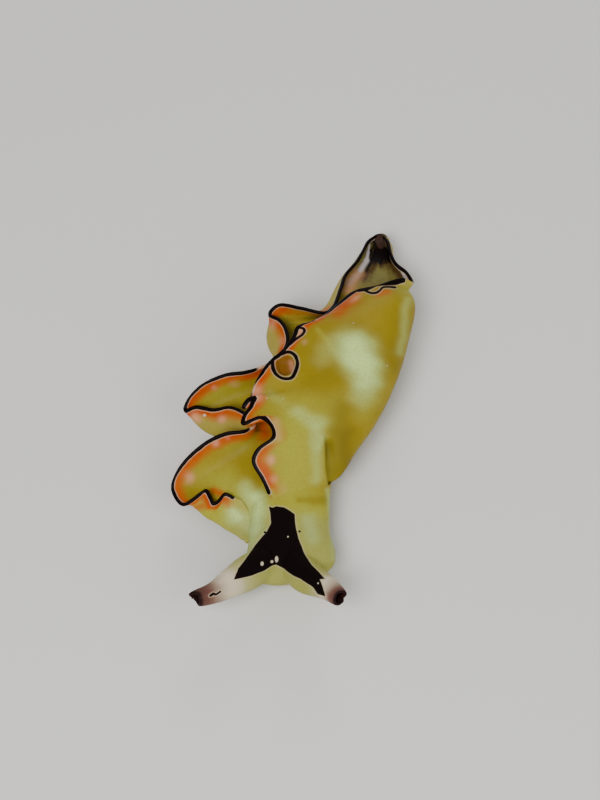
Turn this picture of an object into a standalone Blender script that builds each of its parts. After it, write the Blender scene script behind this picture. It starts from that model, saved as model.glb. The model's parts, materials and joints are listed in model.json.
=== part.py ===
"""A crawling Elysia sea slug as a still, life-size model, in metres with +Z up.

The head faces -Y and the tail +Y, so the animal's left is at +X. It lies on its flat sole at z = 0, with the
origin on the sole under the middle of the body. The body is lofted whole from the sizes below, and each node is
a part of it, kept clear of its neighbours by a thin gap.
"""
import math

import bmesh
import bpy
import numpy as np

MM = 0.001              # every size below is in millimetres
GAP = 0.3               # clearance between neighbouring nodes
SUNK = 0.30             # how deep a sheet's root starts in the trunk, as a share of its radius
EDGE_STEP = 0.06        # spacing of the columns that a sheet is worked out on
ACROSS = 81             # points of each such column, from root to edge
SHEET_STEP = 0.60       # spacing of the columns that its solid keeps
ROWS = np.array([0, 0.10, 0.20, 0.31, 0.42, 0.52, 0.63, 0.74, 0.86, 1.0])           # and where its rows lie
RIM_TURNS = (55, 0, -55)
NORMAL_EVENED = 0.6
BEND, BEND_PASSES = 0.7, 12      # radius that the sheet's bends are softened to, in this many rounds
EDGE_THICK = 0.5        # thickness of a parapodium at its free edge and at its root
ROOT_THICK = 0.9
ROOT_REACH = 0.4        # share of the way to the edge over which the root's thickness runs out
SWELL = 0.09            # half of what a short sheet's root gains in thickness for each millimetre of its width
TRUNK_STEP = 0.9
TRUNK_ANGLES = 32
RHINO_ANGLES = 20

# Trunk with the head: station y, midline x, half width, underside z, back z
TRUNK = np.array([
    (-12.30, -2.10, 0.45, 1.45, 1.95),
    (-12.12, -2.05, 1.30, 1.20, 2.25),
    (-11.80, -1.80, 2.20, 0.95, 2.50),
    (-11.10, -1.38, 2.79, 0.75, 2.80),
    (-10.20, -1.20, 2.85, 0.55, 3.00),
    (-9.00, -1.27, 2.62, 0.50, 3.10),
    (-7.00, -1.30, 2.58, 0.50, 3.20),
    (-4.50, -1.04, 2.50, 0.50, 3.25),
    (-2.00, -0.50, 2.25, 0.50, 3.20),
    (1.50, 0.60, 2.10, 0.50, 3.00),
    (5.50, 2.05, 1.90, 0.50, 2.60),
    (9.50, 3.55, 1.45, 0.50, 2.00),
    (12.00, 4.50, 1.05, 0.50, 1.45),
    (13.80, 4.88, 0.62, 0.50, 1.50),
    (14.25, 4.95, 0.62, 0.50, 1.72),
    (14.60, 4.98, 0.42, 0.60, 1.70),
    (14.78, 4.99, 0.18, 0.85, 1.40),
])
TRUNK_POWER = 2.3       # 2 is an ellipse, and more is squarer
HUMP_HIGH, HUMP_AT, HUMP_LONG = 0.35, -2.8, 1.5     # swelling over the heart, on the back
NECK_FROM, NECK_TO = -8.5, -6.2
TRUNK_LENGTHS = (
    ("trunk_front", -6.2, -1.8), ("trunk_middle", -1.8, 3.6), ("trunk_rear", 3.6, 9.0), ("tail", 9.0, 13.9),
    ("tail_tip", 13.9, 14.78),
)

# Sole: station y, midline x, half width
SOLE = np.array([
    (-11.22, -1.50, 1.00),
    (-11.08, -1.40, 1.75),
    (-10.75, -1.30, 2.25),
    (-10.20, -1.25, 2.45),
    (-9.40, -1.40, 2.10),
    (-7.00, -1.35, 1.90),
    (-2.00, -0.50, 1.75),
    (4.00, 1.45, 1.60),
    (9.00, 3.20, 1.15),
    (12.50, 4.35, 0.65),
    (14.50, 4.90, 0.30),
])
SOLE_LENGTHS = (("foot_front", -11.22, -8.6), ("foot_middle", -8.6, 3.0), ("foot_rear", 3.0, 14.5))
SOLE_THICK = 0.75
SOLE_LIP = 0.22         # how far the sole's edge is rounded

# Root of each parapodium: station y, angle on the trunk from its own side up towards the back
ROOT_LEFT = np.array([
    (-6.7, 112.0), (-6.2, 92.0), (-5.4, 55.0), (-4.6, 24.0), (-3.4, 18.0), (2.0, 14.0), (9.0, 16.0), (13.7, 30.0),
])
ROOT_RIGHT = np.array([(-8.7, -6.0), (-7.5, 2.0), (-6.2, 20.0), (-5.0, 34.0), (4.0, 36.0), (10.0, 34.0), (13.7, 34.0)])

# Guides of the left parapodium, which folds over the back: station y, then the point's x, y, z
BELLY = np.array([
    (-6.7, -2.35, -6.60, 3.25),
    (-6.2, -1.60, -6.1, 3.45),
    (-5.4, 1.10, -5.60, 2.50),
    (-4.6, 1.92, -5.05, 2.20),
    (-3.4, 2.95, -3.2, 2.30),
    (-1.5, 4.35, -1.0, 2.50),
    (1.0, 5.65, 2.0, 2.75),
    (4.0, 6.55, 5.2, 2.85),
    (7.5, 7.00, 8.2, 2.60),
    (10.0, 6.25, 9.9, 1.90),
    (12.0, 5.65, 11.9, 1.55),
    (13.7, 5.55, 13.72, 1.45),
])
SHOULDER = np.array([
    (-6.7, -2.45, -6.55, 3.32),
    (-6.2, -1.95, -6.0, 3.70),
    (-5.4, 0.10, -5.1, 3.65),
    (-4.6, 1.50, -4.4, 3.30),
    (-3.4, 2.10, -2.9, 3.75),
    (-1.5, 3.10, -0.9, 4.30),
    (1.0, 4.80, 2.0, 4.50),
    (4.0, 5.80, 5.2, 4.40),
    (7.5, 6.70, 8.2, 3.60),
    (10.0, 6.75, 9.8, 2.15),
    (12.0, 5.75, 12.0, 1.75),
    (13.7, 5.58, 13.75, 1.60),
])
CROWN = np.array([
    (-6.7, -2.58, -6.50, 3.40),
    (-6.2, -2.50, -5.9, 3.90),
    (-5.4, -1.70, -4.9, 4.40),
    (-4.6, -0.90, -4.0, 4.75),
    (-3.4, -0.60, -2.7, 5.10),
    (-1.5, 0.60, -0.8, 5.35),
    (1.0, 2.30, 1.9, 5.50),
    (4.0, 3.40, 5.0, 5.20),
    (7.5, 5.30, 8.3, 4.20),
    (10.0, 6.85, 9.8, 2.45),
    (12.0, 5.75, 12.1, 1.95),
    (13.7, 5.54, 13.80, 1.75),
])

# Lowest line of the right parapodium's lobes, which its outer wall hangs to before it rises to the edge
KEEL = np.array([
    (-8.7, -4.60, -8.85, 1.20), (-8.2, -5.20, -8.55, 1.05), (-7.7, -5.75, -8.10, 1.00),
    (-7.3, -6.25, -7.70, 1.05), (-6.8, -6.95, -7.30, 1.20), (-6.5, -7.35, -7.00, 1.30), (-6.1, -7.80, -6.45, 1.40),
    (-5.4, -7.70, -5.40, 1.50), (-4.7, -7.00, -4.50, 1.80), (-4.0, -6.00, -3.70, 2.30), (-3.3, -4.90, -3.10, 2.90),
    (-2.7, -4.00, -2.60, 3.25), (-2.3, -3.50, -2.15, 3.20), (-1.9, -4.10, -1.90, 2.65), (-1.5, -5.10, -1.85, 2.00),
    (-1.0, -6.30, -1.50, 1.45), (-0.5, -7.20, -0.95, 1.45), (0.1, -7.60, -0.05, 1.60), (0.6, -7.05, 0.60, 1.90),
    (1.1, -6.10, 1.10, 2.30), (1.8, -4.90, 1.60, 2.80), (2.5, -3.70, 2.00, 3.10), (3.0, -2.90, 2.50, 3.20),
    (3.6, -2.25, 3.10, 3.05), (4.4, -2.50, 4.00, 2.40), (5.1, -3.00, 5.10, 2.00), (5.7, -3.10, 6.10, 1.85),
    (6.3, -2.40, 6.90, 1.90), (6.9, -1.40, 7.30, 2.20), (7.5, -0.40, 7.20, 2.70), (8.1, 0.60, 7.20, 2.80),
    (8.7, 1.10, 7.85, 2.45), (9.6, 1.60, 9.25, 2.05), (10.8, 2.15, 10.60, 1.90), (12.0, 3.15, 11.95, 1.75),
    (13.7, 4.10, 13.80, 1.60),
])

# Free edge of each parapodium from front to rear: station y that it grows from, then the edge's x, y, z
EDGE_LEFT = np.array([
    # front end on the neck, and the first flounce
    (-6.7, -2.72, -6.45, 3.45), (-6.0, -3.10, -5.80, 3.95), (-5.3, -3.65, -4.80, 4.40), (-4.8, -3.35, -4.20, 4.75),
    (-4.2, -2.50, -3.60, 5.15), (-3.5, -2.60, -2.60, 5.20), (-3.0, -3.20, -2.00, 5.10),
    # pointed turn, and the stretch over the back
    (-2.4, -4.05, -2.15, 4.82), (-1.8, -4.20, -1.60, 4.78), (-1.2, -3.90, -0.90, 4.85), (-0.5, -3.90, -0.40, 4.80),
    (0.2, -3.70, 0.20, 4.85), (0.9, -3.22, 1.16, 5.02), (1.8, -2.45, 2.25, 5.18), (3.0, -1.58, 3.10, 5.32),
    (3.9, -1.00, 4.11, 5.28), (4.8, 0.02, 5.10, 5.15), (5.6, 0.90, 5.90, 4.70), (6.6, 1.85, 7.05, 4.30),
    (7.6, 3.05, 8.25, 4.10), (8.6, 4.60, 8.80, 3.90),
    # side of the tail
    (9.4, 6.10, 9.55, 3.40), (10.0, 6.85, 9.90, 2.75), (10.7, 6.65, 10.90, 2.40), (11.4, 6.00, 11.55, 2.40),
    (12.4, 5.63, 12.60, 2.10), (13.0, 5.50, 13.20, 1.98), (13.7, 5.40, 13.85, 1.88),
])
EDGE_RIGHT = np.array([
    # front end along the side of the neck, and the first lobe
    (-8.7, -4.10, -8.35, 1.80), (-8.1, -4.35, -7.35, 2.30), (-7.6, -4.95, -6.75, 2.55), (-7.2, -5.60, -6.60, 2.58),
    (-6.8, -6.25, -6.60, 2.52), (-6.4, -7.05, -6.40, 2.30), (-6.0, -7.95, -6.60, 1.98), (-5.4, -8.90, -5.70, 1.90),
    (-4.7, -8.40, -4.30, 2.60), (-4.0, -6.95, -3.10, 3.40), (-3.3, -5.45, -2.50, 3.85), (-2.7, -4.15, -2.35, 3.95),
    (-2.3, -3.55, -1.80, 3.80),
    # second lobe
    (-1.9, -4.20, -1.00, 3.80), (-1.5, -5.15, -0.45, 3.65), (-1.0, -6.30, -0.30, 3.10), (-0.5, -7.40, 0.10, 2.80),
    (0.1, -8.25, 0.10, 2.30), (0.6, -7.95, 0.80, 2.70), (1.1, -7.15, 1.45, 3.20), (1.8, -5.60, 2.00, 3.70),
    (2.5, -4.20, 2.15, 3.85), (3.0, -3.30, 2.45, 3.85), (3.6, -2.20, 3.15, 3.75),
    # third lobe
    (4.4, -1.45, 4.40, 3.85), (5.1, -1.60, 5.70, 3.60), (5.7, -2.05, 6.55, 3.30), (6.3, -2.70, 7.25, 2.90),
    (6.9, -2.00, 7.80, 3.20), (7.5, -0.60, 7.30, 3.60), (8.1, 0.95, 6.85, 3.70),
    # side of the tail
    (8.7, 1.60, 7.50, 3.35), (9.6, 2.12, 9.20, 2.90), (10.8, 2.50, 10.60, 2.60), (12.0, 3.32, 11.90, 2.35),
    (12.9, 3.75, 12.90, 2.15), (13.7, 4.15, 13.80, 1.95),
])
RIPPLE = 0.4            # ripples of the free edges shorter than about this are left plain
LEFT_HEM, RIGHT_HEM = 0.5, 0.8      # how far each edge is evened out to find the sheet under its detail
LEFT_CUTS, RIGHT_CUTS = (0.6, 6.6), (-2.3, 3.8)

# Rhinophores, from base to tip: place along, x, y, z, radius
RHINO_RIGHT = np.array([
    (0.0, -2.70, -10.75, 2.05, 1.05), (0.25, -3.86, -11.72, 2.30, 1.12), (0.55, -5.07, -12.76, 2.75, 0.92),
    (0.8, -6.12, -13.60, 3.10, 0.68), (1.0, -7.10, -14.08, 3.30, 0.54),
])
RHINO_LEFT = np.array([
    (0.0, -1.05, -10.95, 2.05, 1.05), (0.25, -0.30, -12.02, 2.40, 1.12), (0.55, 0.62, -12.95, 3.10, 0.88),
    (0.8, 1.32, -13.70, 3.70, 0.72), (1.0, 1.88, -14.42, 4.10, 0.56),
])
SLIT_ANGLE, SLIT_WIDE, SLIT_DEPTH = -35.0, 0.42, 0.5

MOUTH = np.array([-2.00, -11.68, 0.82])
LOBE_APART = 0.50
LOBE_RADII = (0.42, 0.50, 0.45)
EYE_LEFT = np.array([-0.66, -9.25, 2.97])
EYE_RIGHT = np.array([-2.87, -9.25, 2.85])
EYE_RADIUS, EYE_GAP = 0.16, 0.10


def spline(rows, at):
    """Smooth curve through the rows, whose first column rises. Returns the other columns at the places asked for."""
    t, p = rows[:, 0], rows[:, 1:]
    slope = np.gradient(p, t, axis=0)
    at = np.clip(np.asarray(at, float), t[0], t[-1])
    i = np.clip(np.searchsorted(t, at, side="right") - 1, 0, len(t) - 2)
    step = (t[i + 1] - t[i])[..., None]
    u = (at - t[i])[..., None] / step
    return ((2 * u**3 - 3 * u**2 + 1) * p[i] + (u**3 - 2 * u**2 + u) * step * slope[i]
            + (3 * u**2 - 2 * u**3) * p[i + 1] + (u**3 - u**2) * step * slope[i + 1])


def unit(vectors):
    return vectors / np.maximum(np.linalg.norm(vectors, axis=-1, keepdims=True), 1e-9)


def trunk_point(y, angle, depth=0.0, grow=0.0):
    """Point on the trunk at station y. The angle runs from +X up over the back, and depth goes in to the core."""
    x, half, low, high = np.moveaxis(spline(TRUNK, y), -1, 0)
    high = high + HUMP_HIGH * np.exp(-((y - HUMP_AT) / HUMP_LONG) ** 2)
    c, s = np.cos(angle), np.sin(angle)
    squared = 2 / TRUNK_POWER
    wide, tall = (half + grow) * (1 - depth), ((high - low) / 2 + grow) * (1 - depth)
    return np.stack([x + wide * np.sign(c) * np.abs(c) ** squared,
                     np.broadcast_to(y, np.shape(x + c)).astype(float),
                     (low + high) / 2 + tall * np.sign(s) * np.abs(s) ** squared], -1)


def along_edge(rows):
    """Stations and points at even steps along a free edge."""
    fine = np.linspace(rows[0, 0], rows[-1, 0], 4000)
    points = spline(rows, fine)
    length = np.concatenate([[0.0], np.cumsum(np.linalg.norm(np.diff(points, axis=0), axis=1))])
    stations = np.interp(np.arange(0, length[-1], EDGE_STEP), length, fine)
    return stations, spline(rows, stations)


def evened(points, width):
    """The row of points evened out over this many millimetres, with its two ends kept."""
    n = max(1, int(width / EDGE_STEP))
    weight = np.exp(-0.5 * (np.arange(-3 * n, 3 * n + 1) / n) ** 2)
    ahead = 2 * points[0] - points[3 * n:0:-1]
    behind = 2 * points[-1] - points[-2:-3 * n - 2:-1]
    padded = np.concatenate([ahead, points, behind])
    return np.stack([np.convolve(padded[:, k], weight / weight.sum(), "valid") for k in range(3)], -1)


def ease(value, low, high):
    """0 below low, 1 above high, and a smooth rise between them."""
    u = np.clip((value - low) / (high - low), 0, 1)
    return u * u * (3 - 2 * u)


def through(guides, places):
    """A sheet through guide curves that lie at these places, from 0 at the root to 1 at the edge."""
    stacked = np.stack(guides)
    rows = np.column_stack([places, stacked.reshape(len(guides), -1)])
    across = np.linspace(0, 1, ACROSS)
    return spline(rows, across).reshape(ACROSS, *stacked.shape[1:]).swapaxes(0, 1)


def left_sheet():
    """Middle surface of the left parapodium, (along, across, 3), with the station of each column."""
    y, edge = along_edge(EDGE_LEFT)
    edge = evened(edge, RIPPLE)
    angle = np.radians(spline(ROOT_LEFT, y)[:, 0])
    hem = evened(edge, LEFT_HEM)
    guides = [trunk_point(y, angle, SUNK), trunk_point(y, angle), spline(BELLY, y), spline(SHOULDER, y),
              spline(CROWN, y), hem]
    sheet = through(guides, (0.0, 0.1, 0.3, 0.52, 0.74, 1.0))
    detail = ease(np.linspace(0, 1, ACROSS), 0.72, 1.0)
    return y, sheet + detail[None, :, None] * (edge - hem)[:, None, :]


def right_sheet():
    """Middle surface of the right parapodium, whose lobes are channels that end in raised edges."""
    y, edge = along_edge(EDGE_RIGHT)
    edge = evened(edge, RIPPLE)
    angle = np.radians(180 - spline(ROOT_RIGHT, y)[:, 0])
    hem = evened(edge, RIGHT_HEM)
    root = trunk_point(y, angle)
    keel = evened(spline(KEEL, y), RIGHT_HEM)
    sheet = through([trunk_point(y, angle, SUNK), root, root * 0.5 + keel * 0.5, keel, hem], (0.0, 0.1, 0.36, 0.64, 1.0))
    detail = ease(np.linspace(0, 1, ACROSS), 0.64, 1.0)
    return y, sheet + detail[None, :, None] * (edge - hem)[:, None, :]


def softened(surface, pull):
    """The surface with its bends across softened, and its first and last rows kept."""
    surface = surface.copy()
    for _ in range(BEND_PASSES):
        surface[:, 1:-1] += pull * (surface[:, :-2] + surface[:, 2:] - 2 * surface[:, 1:-1])
    return surface


def section_rings(sheet):
    """Closed section of a thick sheet at each of its columns: up one face, round the free edge, and back."""
    run = np.concatenate([np.zeros((len(sheet), 1)),
                          np.cumsum(np.linalg.norm(np.diff(sheet, axis=1), axis=2), axis=1)], 1)
    half_edge = EDGE_THICK / 2
    middle = np.empty((len(sheet), len(ROWS), 3))
    for i, line in enumerate(run):
        at = ROWS * (line[-1] - half_edge)
        for k in range(3):
            middle[i, :, k] = np.interp(at, line, sheet[i, :, k])
    pull = np.minimum(0.3, (BEND / (run[:, -1] / len(ROWS))) ** 2 / (2 * BEND_PASSES))[:, None, None]
    middle = softened(middle, pull)
    normal = unit(np.cross(np.gradient(middle, axis=0), np.gradient(middle, axis=1)))
    normal = unit(np.stack([evened(normal[:, j], NORMAL_EVENED) for j in range(len(ROWS))], 1))
    extra = np.minimum(ROOT_THICK / 2 - half_edge, SWELL * run[:, -1])
    half = half_edge + extra[:, None] * (1 - ease(ROWS, 0, ROOT_REACH))
    upper = softened(middle + normal * half[..., None], pull / 2)
    lower = softened(middle - normal * half[..., None], pull / 2)
    out = unit(evened(unit(middle[:, -1] - middle[:, -2]), NORMAL_EVENED))
    turn = np.radians(RIM_TURNS)
    rim = (middle[:, -1, None] + half_edge * (np.cos(turn)[:, None] * out[:, None]
                                              + np.sin(turn)[:, None] * normal[:, -1, None]))
    return np.concatenate([upper, rim, lower[:, ::-1]], 1)


def between(rings, first, last, step):
    """Rings from one place to another along the sheet, held off each cut by half the gap."""
    speed = np.maximum(np.linalg.norm(np.gradient(rings, axis=0), axis=2), 1e-4)
    first_at = first + (GAP / 2 / speed[int(first)] if first > 0 else 0)
    last_at = last - (GAP / 2 / speed[int(last)] if last < len(rings) - 1 else 0)
    count = max(3, int(round((last - first) * EDGE_STEP / step)) + 1)
    share = np.linspace(0, 1, count)[:, None]
    place = np.clip(first_at + (last_at - first_at) * share, 0, len(rings) - 1.001)
    i = place.astype(int)
    f = (place - i)[..., None]
    m = np.arange(rings.shape[1])
    return rings[i, m] * (1 - f) + rings[i + 1, m] * f


def sheet_faces(count, around):
    """Triangles of a thick sheet, split alike on both faces, with strips for the two end caps."""
    rows = len(ROWS)
    faces = []
    for i in range(count - 1):
        for m in range(around):
            a, b = i * around + m, i * around + (m + 1) % around
            c, d = b + around, a + around
            if m < around // 2:
                faces += [(a, b, c), (a, c, d)]
            else:
                faces += [(a, b, d), (b, c, d)]
    for start in (0, (count - 1) * around):
        for m in range(rows - 1):
            faces.append([start + k for k in (m, m + 1, around - 2 - m, around - 1 - m)])
        faces.append([start + k for k in range(rows - 1, around - rows + 1)])
    return faces


def loft_faces(count, around):
    """Quads of a closed loft, with a flat face at each end."""
    faces = [list(range(around)), list(range((count - 1) * around, count * around))]
    for i in range(count - 1):
        for m in range(around):
            a, b = i * around + m, i * around + (m + 1) % around
            faces.append((a, b, b + around, a + around))
    return faces


def collection(name):
    made = bpy.data.collections.new(name)
    bpy.context.scene.collection.children.link(made)
    return made


def material(name, colour, roughness):
    made = bpy.data.materials.new(name)
    made.use_nodes = True
    shader = made.node_tree.nodes["Principled BSDF"]
    shader.inputs["Base Color"].default_value = (*colour, 1)
    shader.inputs["Roughness"].default_value = roughness
    return made


def solid(name, points, faces, look=None, cutter=False):
    """Closed body from points in millimetres."""
    mesh = bpy.data.meshes.new(name)
    mesh.from_pydata([tuple(p) for p in (np.reshape(points, (-1, 3)) * MM).tolist()], [], faces)
    work = bmesh.new()
    work.from_mesh(mesh)
    bmesh.ops.recalc_face_normals(work, faces=work.faces)
    work.to_mesh(mesh)
    work.free()
    made = bpy.data.objects.new(name, mesh)
    (CUTTERS if cutter else SLUG).objects.link(made)
    if cutter:
        made.hide_render = True
        made.display_type = "WIRE"
    else:
        mesh.materials.append(material(name, *look))
    return made


def cut(body, cutter):
    step = body.modifiers.new("cut", "BOOLEAN")
    step.operation = "DIFFERENCE"
    step.solver = "EXACT"
    step.use_self = True
    step.object = cutter


def trunk_rings(stations, angles, grow=0.0, floor=None):
    rings = np.stack([trunk_point(np.full(angles, y), np.linspace(0, 2 * math.pi, angles, endpoint=False), 0, grow)
                      for y in stations])
    if floor is not None:
        rings[..., 2] = np.maximum(rings[..., 2], floor)
    return rings


def trunk_node(name, start, end, look):
    first = start + GAP / 2 if start > TRUNK[0, 0] else start
    last = end - GAP / 2 if end < TRUNK[-1, 0] else end
    stations = np.linspace(first, last, max(3, int((last - first) / TRUNK_STEP) + 1))
    if start <= TRUNK[0, 0]:
        stations = np.sort(np.append(stations, [first + 0.08, first + 0.3]))
    rings = trunk_rings(stations, TRUNK_ANGLES, 0, SOLE_THICK + GAP)
    return solid(name, rings, loft_faces(len(rings), TRUNK_ANGLES), look)


def sole_node(name, start, end, look):
    """Length of the foot, with a flat sole on the floor and a rounded edge."""
    first = start + GAP / 2 if start > SOLE[0, 0] else start
    last = end - GAP / 2 if end < SOLE[-1, 0] else end
    inner = SOLE[(SOLE[:, 0] > first) & (SOLE[:, 0] < last), 0]
    stations = np.sort(np.concatenate([[first, last], inner, (inner[1:] + inner[:-1]) / 2]))
    rings = []
    for y in stations:
        x, half = spline(SOLE, y)
        lip = min(SOLE_LIP, half * 0.4)
        profile = [(half - lip, 0), (half, SOLE_THICK * 0.4), (half - lip * 0.3, SOLE_THICK * 0.8),
                   (half - lip, SOLE_THICK)]
        side = [(x + w, y, z) for w, z in profile]
        rings.append(side + [(2 * x - px, py, pz) for px, py, pz in reversed(side)])
    return solid(name, np.array(rings), loft_faces(len(rings), len(rings[0])), look)


def rhinophore(name, axis, look):
    """Rolled tube with a slit along its lower outer side and a hollow, two-lipped tip."""
    s = np.concatenate([np.linspace(0, 1, 11), [1.0, 0.97, 0.88]])
    scale = np.concatenate([np.ones(11), [0.84, 0.66, 0.30]])
    rows = spline(axis, s)
    ahead = unit(spline(axis, np.clip(s + 0.02, 0, 1)) - spline(axis, np.clip(s - 0.02, 0, 1)))[:, :3]
    ahead = unit(ahead)
    outward = unit(np.cross(ahead, [0, 0, 1.0]))
    upward = np.cross(outward, ahead)
    around = np.linspace(0, 2 * math.pi, RHINO_ANGLES, endpoint=False)
    towards = math.radians(SLIT_ANGLE) if axis[-1, 1] < axis[0, 1] else math.pi - math.radians(SLIT_ANGLE)
    off = (around - towards + math.pi) % (2 * math.pi) - math.pi
    rings = []
    for k, row in enumerate(rows):
        depth = SLIT_DEPTH * ease(s[k], 0.25, 0.85)
        radius = row[3] * scale[k] * (1 - depth * np.exp(-(off / SLIT_WIDE) ** 2))
        rings.append(row[:3] + radius[:, None] * (np.cos(around)[:, None] * outward[k]
                                                  + np.sin(around)[:, None] * upward[k]))
    return solid(name, np.array(rings), loft_faces(len(rings), RHINO_ANGLES), look)


def ball(name, centre, radii, look=None, cutter=False, angles=16):
    """Ellipsoid."""
    turn = np.linspace(-math.pi / 2, math.pi / 2, angles // 2 + 1)[1:-1]
    around = np.linspace(0, 2 * math.pi, angles, endpoint=False)
    rings = np.array([[(math.cos(t) * math.cos(a), math.cos(t) * math.sin(a), math.sin(t)) for a in around]
                      for t in turn])
    return solid(name, centre + rings * np.array(radii), loft_faces(len(rings), angles), look, cutter)


def parapodium(side, sheet_of, cuts, look):
    y, sheet = sheet_of()
    rings = section_rings(sheet)
    places = [0.0] + [float(np.searchsorted(y, c)) for c in cuts] + [float(len(y) - 1)]
    for part, first, last in zip(("front", "middle", "rear"), places[:-1], places[1:]):
        piece = between(rings, first, last, SHEET_STEP)
        made = solid(f"parapodium_{side}_{part}", piece, sheet_faces(len(piece), piece.shape[1]), look)
        cut(made, TRUNK_CUTTER)


for thing in list(bpy.data.objects):
    bpy.data.objects.remove(thing)
SLUG = collection("elysia_sea_slug")
CUTTERS = collection("cutters")
CUTTERS.hide_render = True

PALE = (0.62, 0.66, 0.36), 0.35
OLIVE = (0.40, 0.42, 0.10), 0.35
DARK = (0.05, 0.03, 0.03), 0.30

reach_out = np.concatenate([[TRUNK[0, 0]], np.linspace(TRUNK[0, 0] + 0.2, TRUNK[-1, 0] - 0.1, 60), [TRUNK[-1, 0]]])
inflated = trunk_rings(reach_out, 40, GAP)
inflated[0, :, 1] -= GAP
inflated[-1, :, 1] += GAP
TRUNK_CUTTER = solid("trunk_with_gap", inflated, loft_faces(len(inflated), 40), cutter=True)

head = trunk_node("head", TRUNK[0, 0], NECK_FROM, PALE)
trunk_node("neck", NECK_FROM, NECK_TO, PALE)
for name, start, end in TRUNK_LENGTHS:
    trunk_node(name, start, end, OLIVE)
for name, start, end in SOLE_LENGTHS:
    sole_node(name, start, end, PALE)
parapodium("left", left_sheet, LEFT_CUTS, OLIVE)
parapodium("right", right_sheet, RIGHT_CUTS, OLIVE)
for side, axis in (("left", RHINO_LEFT), ("right", RHINO_RIGHT)):
    cut(rhinophore(f"rhinophore_{side}", axis, PALE), TRUNK_CUTTER)
for side, sign in (("left", 1), ("right", -1)):
    cut(ball(f"oral_lobe_{side}", MOUTH + np.array([sign * LOBE_APART, 0, 0]), LOBE_RADII, PALE), TRUNK_CUTTER)
for side, spot in (("left", EYE_LEFT), ("right", EYE_RIGHT)):
    cut(head, ball(f"eye_pit_{side}", spot, [EYE_RADIUS + EYE_GAP] * 3, cutter=True, angles=16))
    ball(f"eye_{side}", spot, [EYE_RADIUS] * 3, DARK, angles=16)
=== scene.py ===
"""Looks of the Elysia sea slug: one wet skin over the solids, two eyes, a pale floor, lights and a camera.

The skin is built in millimetres from the same named sizes as the solids, with finer free edges. Closed
surfaces of the body's parts are joined by a voxel remesh, evened out, and given fields for the markings, such
as the distance from a free edge. The material draws the markings from those fields.
"""
import json
import math

import bpy
import numpy as np
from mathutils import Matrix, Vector
from mathutils.bvhtree import BVHTree
from numpy.linalg import norm

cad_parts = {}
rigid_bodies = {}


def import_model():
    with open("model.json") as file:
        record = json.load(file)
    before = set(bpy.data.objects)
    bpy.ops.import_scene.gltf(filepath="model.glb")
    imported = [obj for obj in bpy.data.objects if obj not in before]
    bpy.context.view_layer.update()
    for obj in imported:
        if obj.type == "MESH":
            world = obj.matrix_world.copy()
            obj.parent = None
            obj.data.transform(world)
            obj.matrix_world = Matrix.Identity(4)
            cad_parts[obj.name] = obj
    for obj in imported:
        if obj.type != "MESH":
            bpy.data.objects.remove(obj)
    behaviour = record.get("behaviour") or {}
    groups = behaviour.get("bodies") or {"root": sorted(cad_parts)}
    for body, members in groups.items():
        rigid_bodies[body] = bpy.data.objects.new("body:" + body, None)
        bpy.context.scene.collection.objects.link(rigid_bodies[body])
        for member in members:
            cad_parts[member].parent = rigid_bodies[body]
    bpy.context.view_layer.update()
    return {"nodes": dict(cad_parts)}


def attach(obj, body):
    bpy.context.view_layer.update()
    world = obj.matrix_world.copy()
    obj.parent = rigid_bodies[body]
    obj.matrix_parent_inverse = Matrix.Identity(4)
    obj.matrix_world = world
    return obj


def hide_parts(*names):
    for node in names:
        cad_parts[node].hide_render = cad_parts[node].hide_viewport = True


MM = 0.001
VOXEL = 0.06            # grain of the joined skin, in millimetres
TRUNK_RINGS, TRUNK_AROUND = 260, 120
SOLE_RINGS = 200
RHINO_RINGS, RHINO_HOLLOW, RHINO_AROUND = 60, 7, 64     # rings up a rhinophore, rings down into its tip
BALL_RINGS, BALL_AROUND = 26, 48

# Side flaps, built as columns from root to edge
EDGE_STEP = 0.06        # spacing of the columns
ACROSS = 81             # points of each column as it is first drawn
ROWS = np.linspace(0, 1, 41)    # places of its points afterwards
RIM_TURNS = (60, 30, 0, -30, -60)       # angles of the points round the free edge
NORMAL_EVENED, EDGE_EVENED = 0.3, 0.1   # length that the faces' and the edge's directions are evened over
PLEATS_EVENED, PLEATS_FROM = 0.6, (0.4, 1.6)    # the left flap's pleats are evened beyond this from its edge
BEND, BEND_PASSES, BEND_PULL = 0.6, 70, 0.3     # bends of this width across a flap are softened
SUNK = 0.30             # how deep a flap's root is sunk, as a share of the trunk's half width
EDGE_HALF, MIDDLE_HALF, ROOT_HALF = 0.11, 0.22, 0.45    # half thickness at the edge, beyond it, at the root
EDGE_TAPER = 1.1        # how far from the edge the flap is full thick
NARROW = (-0.3, 0.6)    # widths between which a narrow flap thins out
ROOT_REACH = 0.4        # share of a column that is thicker towards its root
SWELL = 0.09            # how much thicker, for each millimetre of the column

# Smoothing of the joined skin: steps, passes before and after its hollow creases are filled, and the filling
SMOOTH_IN, SMOOTH_OUT, SMOOTH_FIRST, SMOOTH_LAST = 0.5, 0.52, 10, 6
FILLET_PASSES, FILLET_PULL = 40, 0.6

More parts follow.
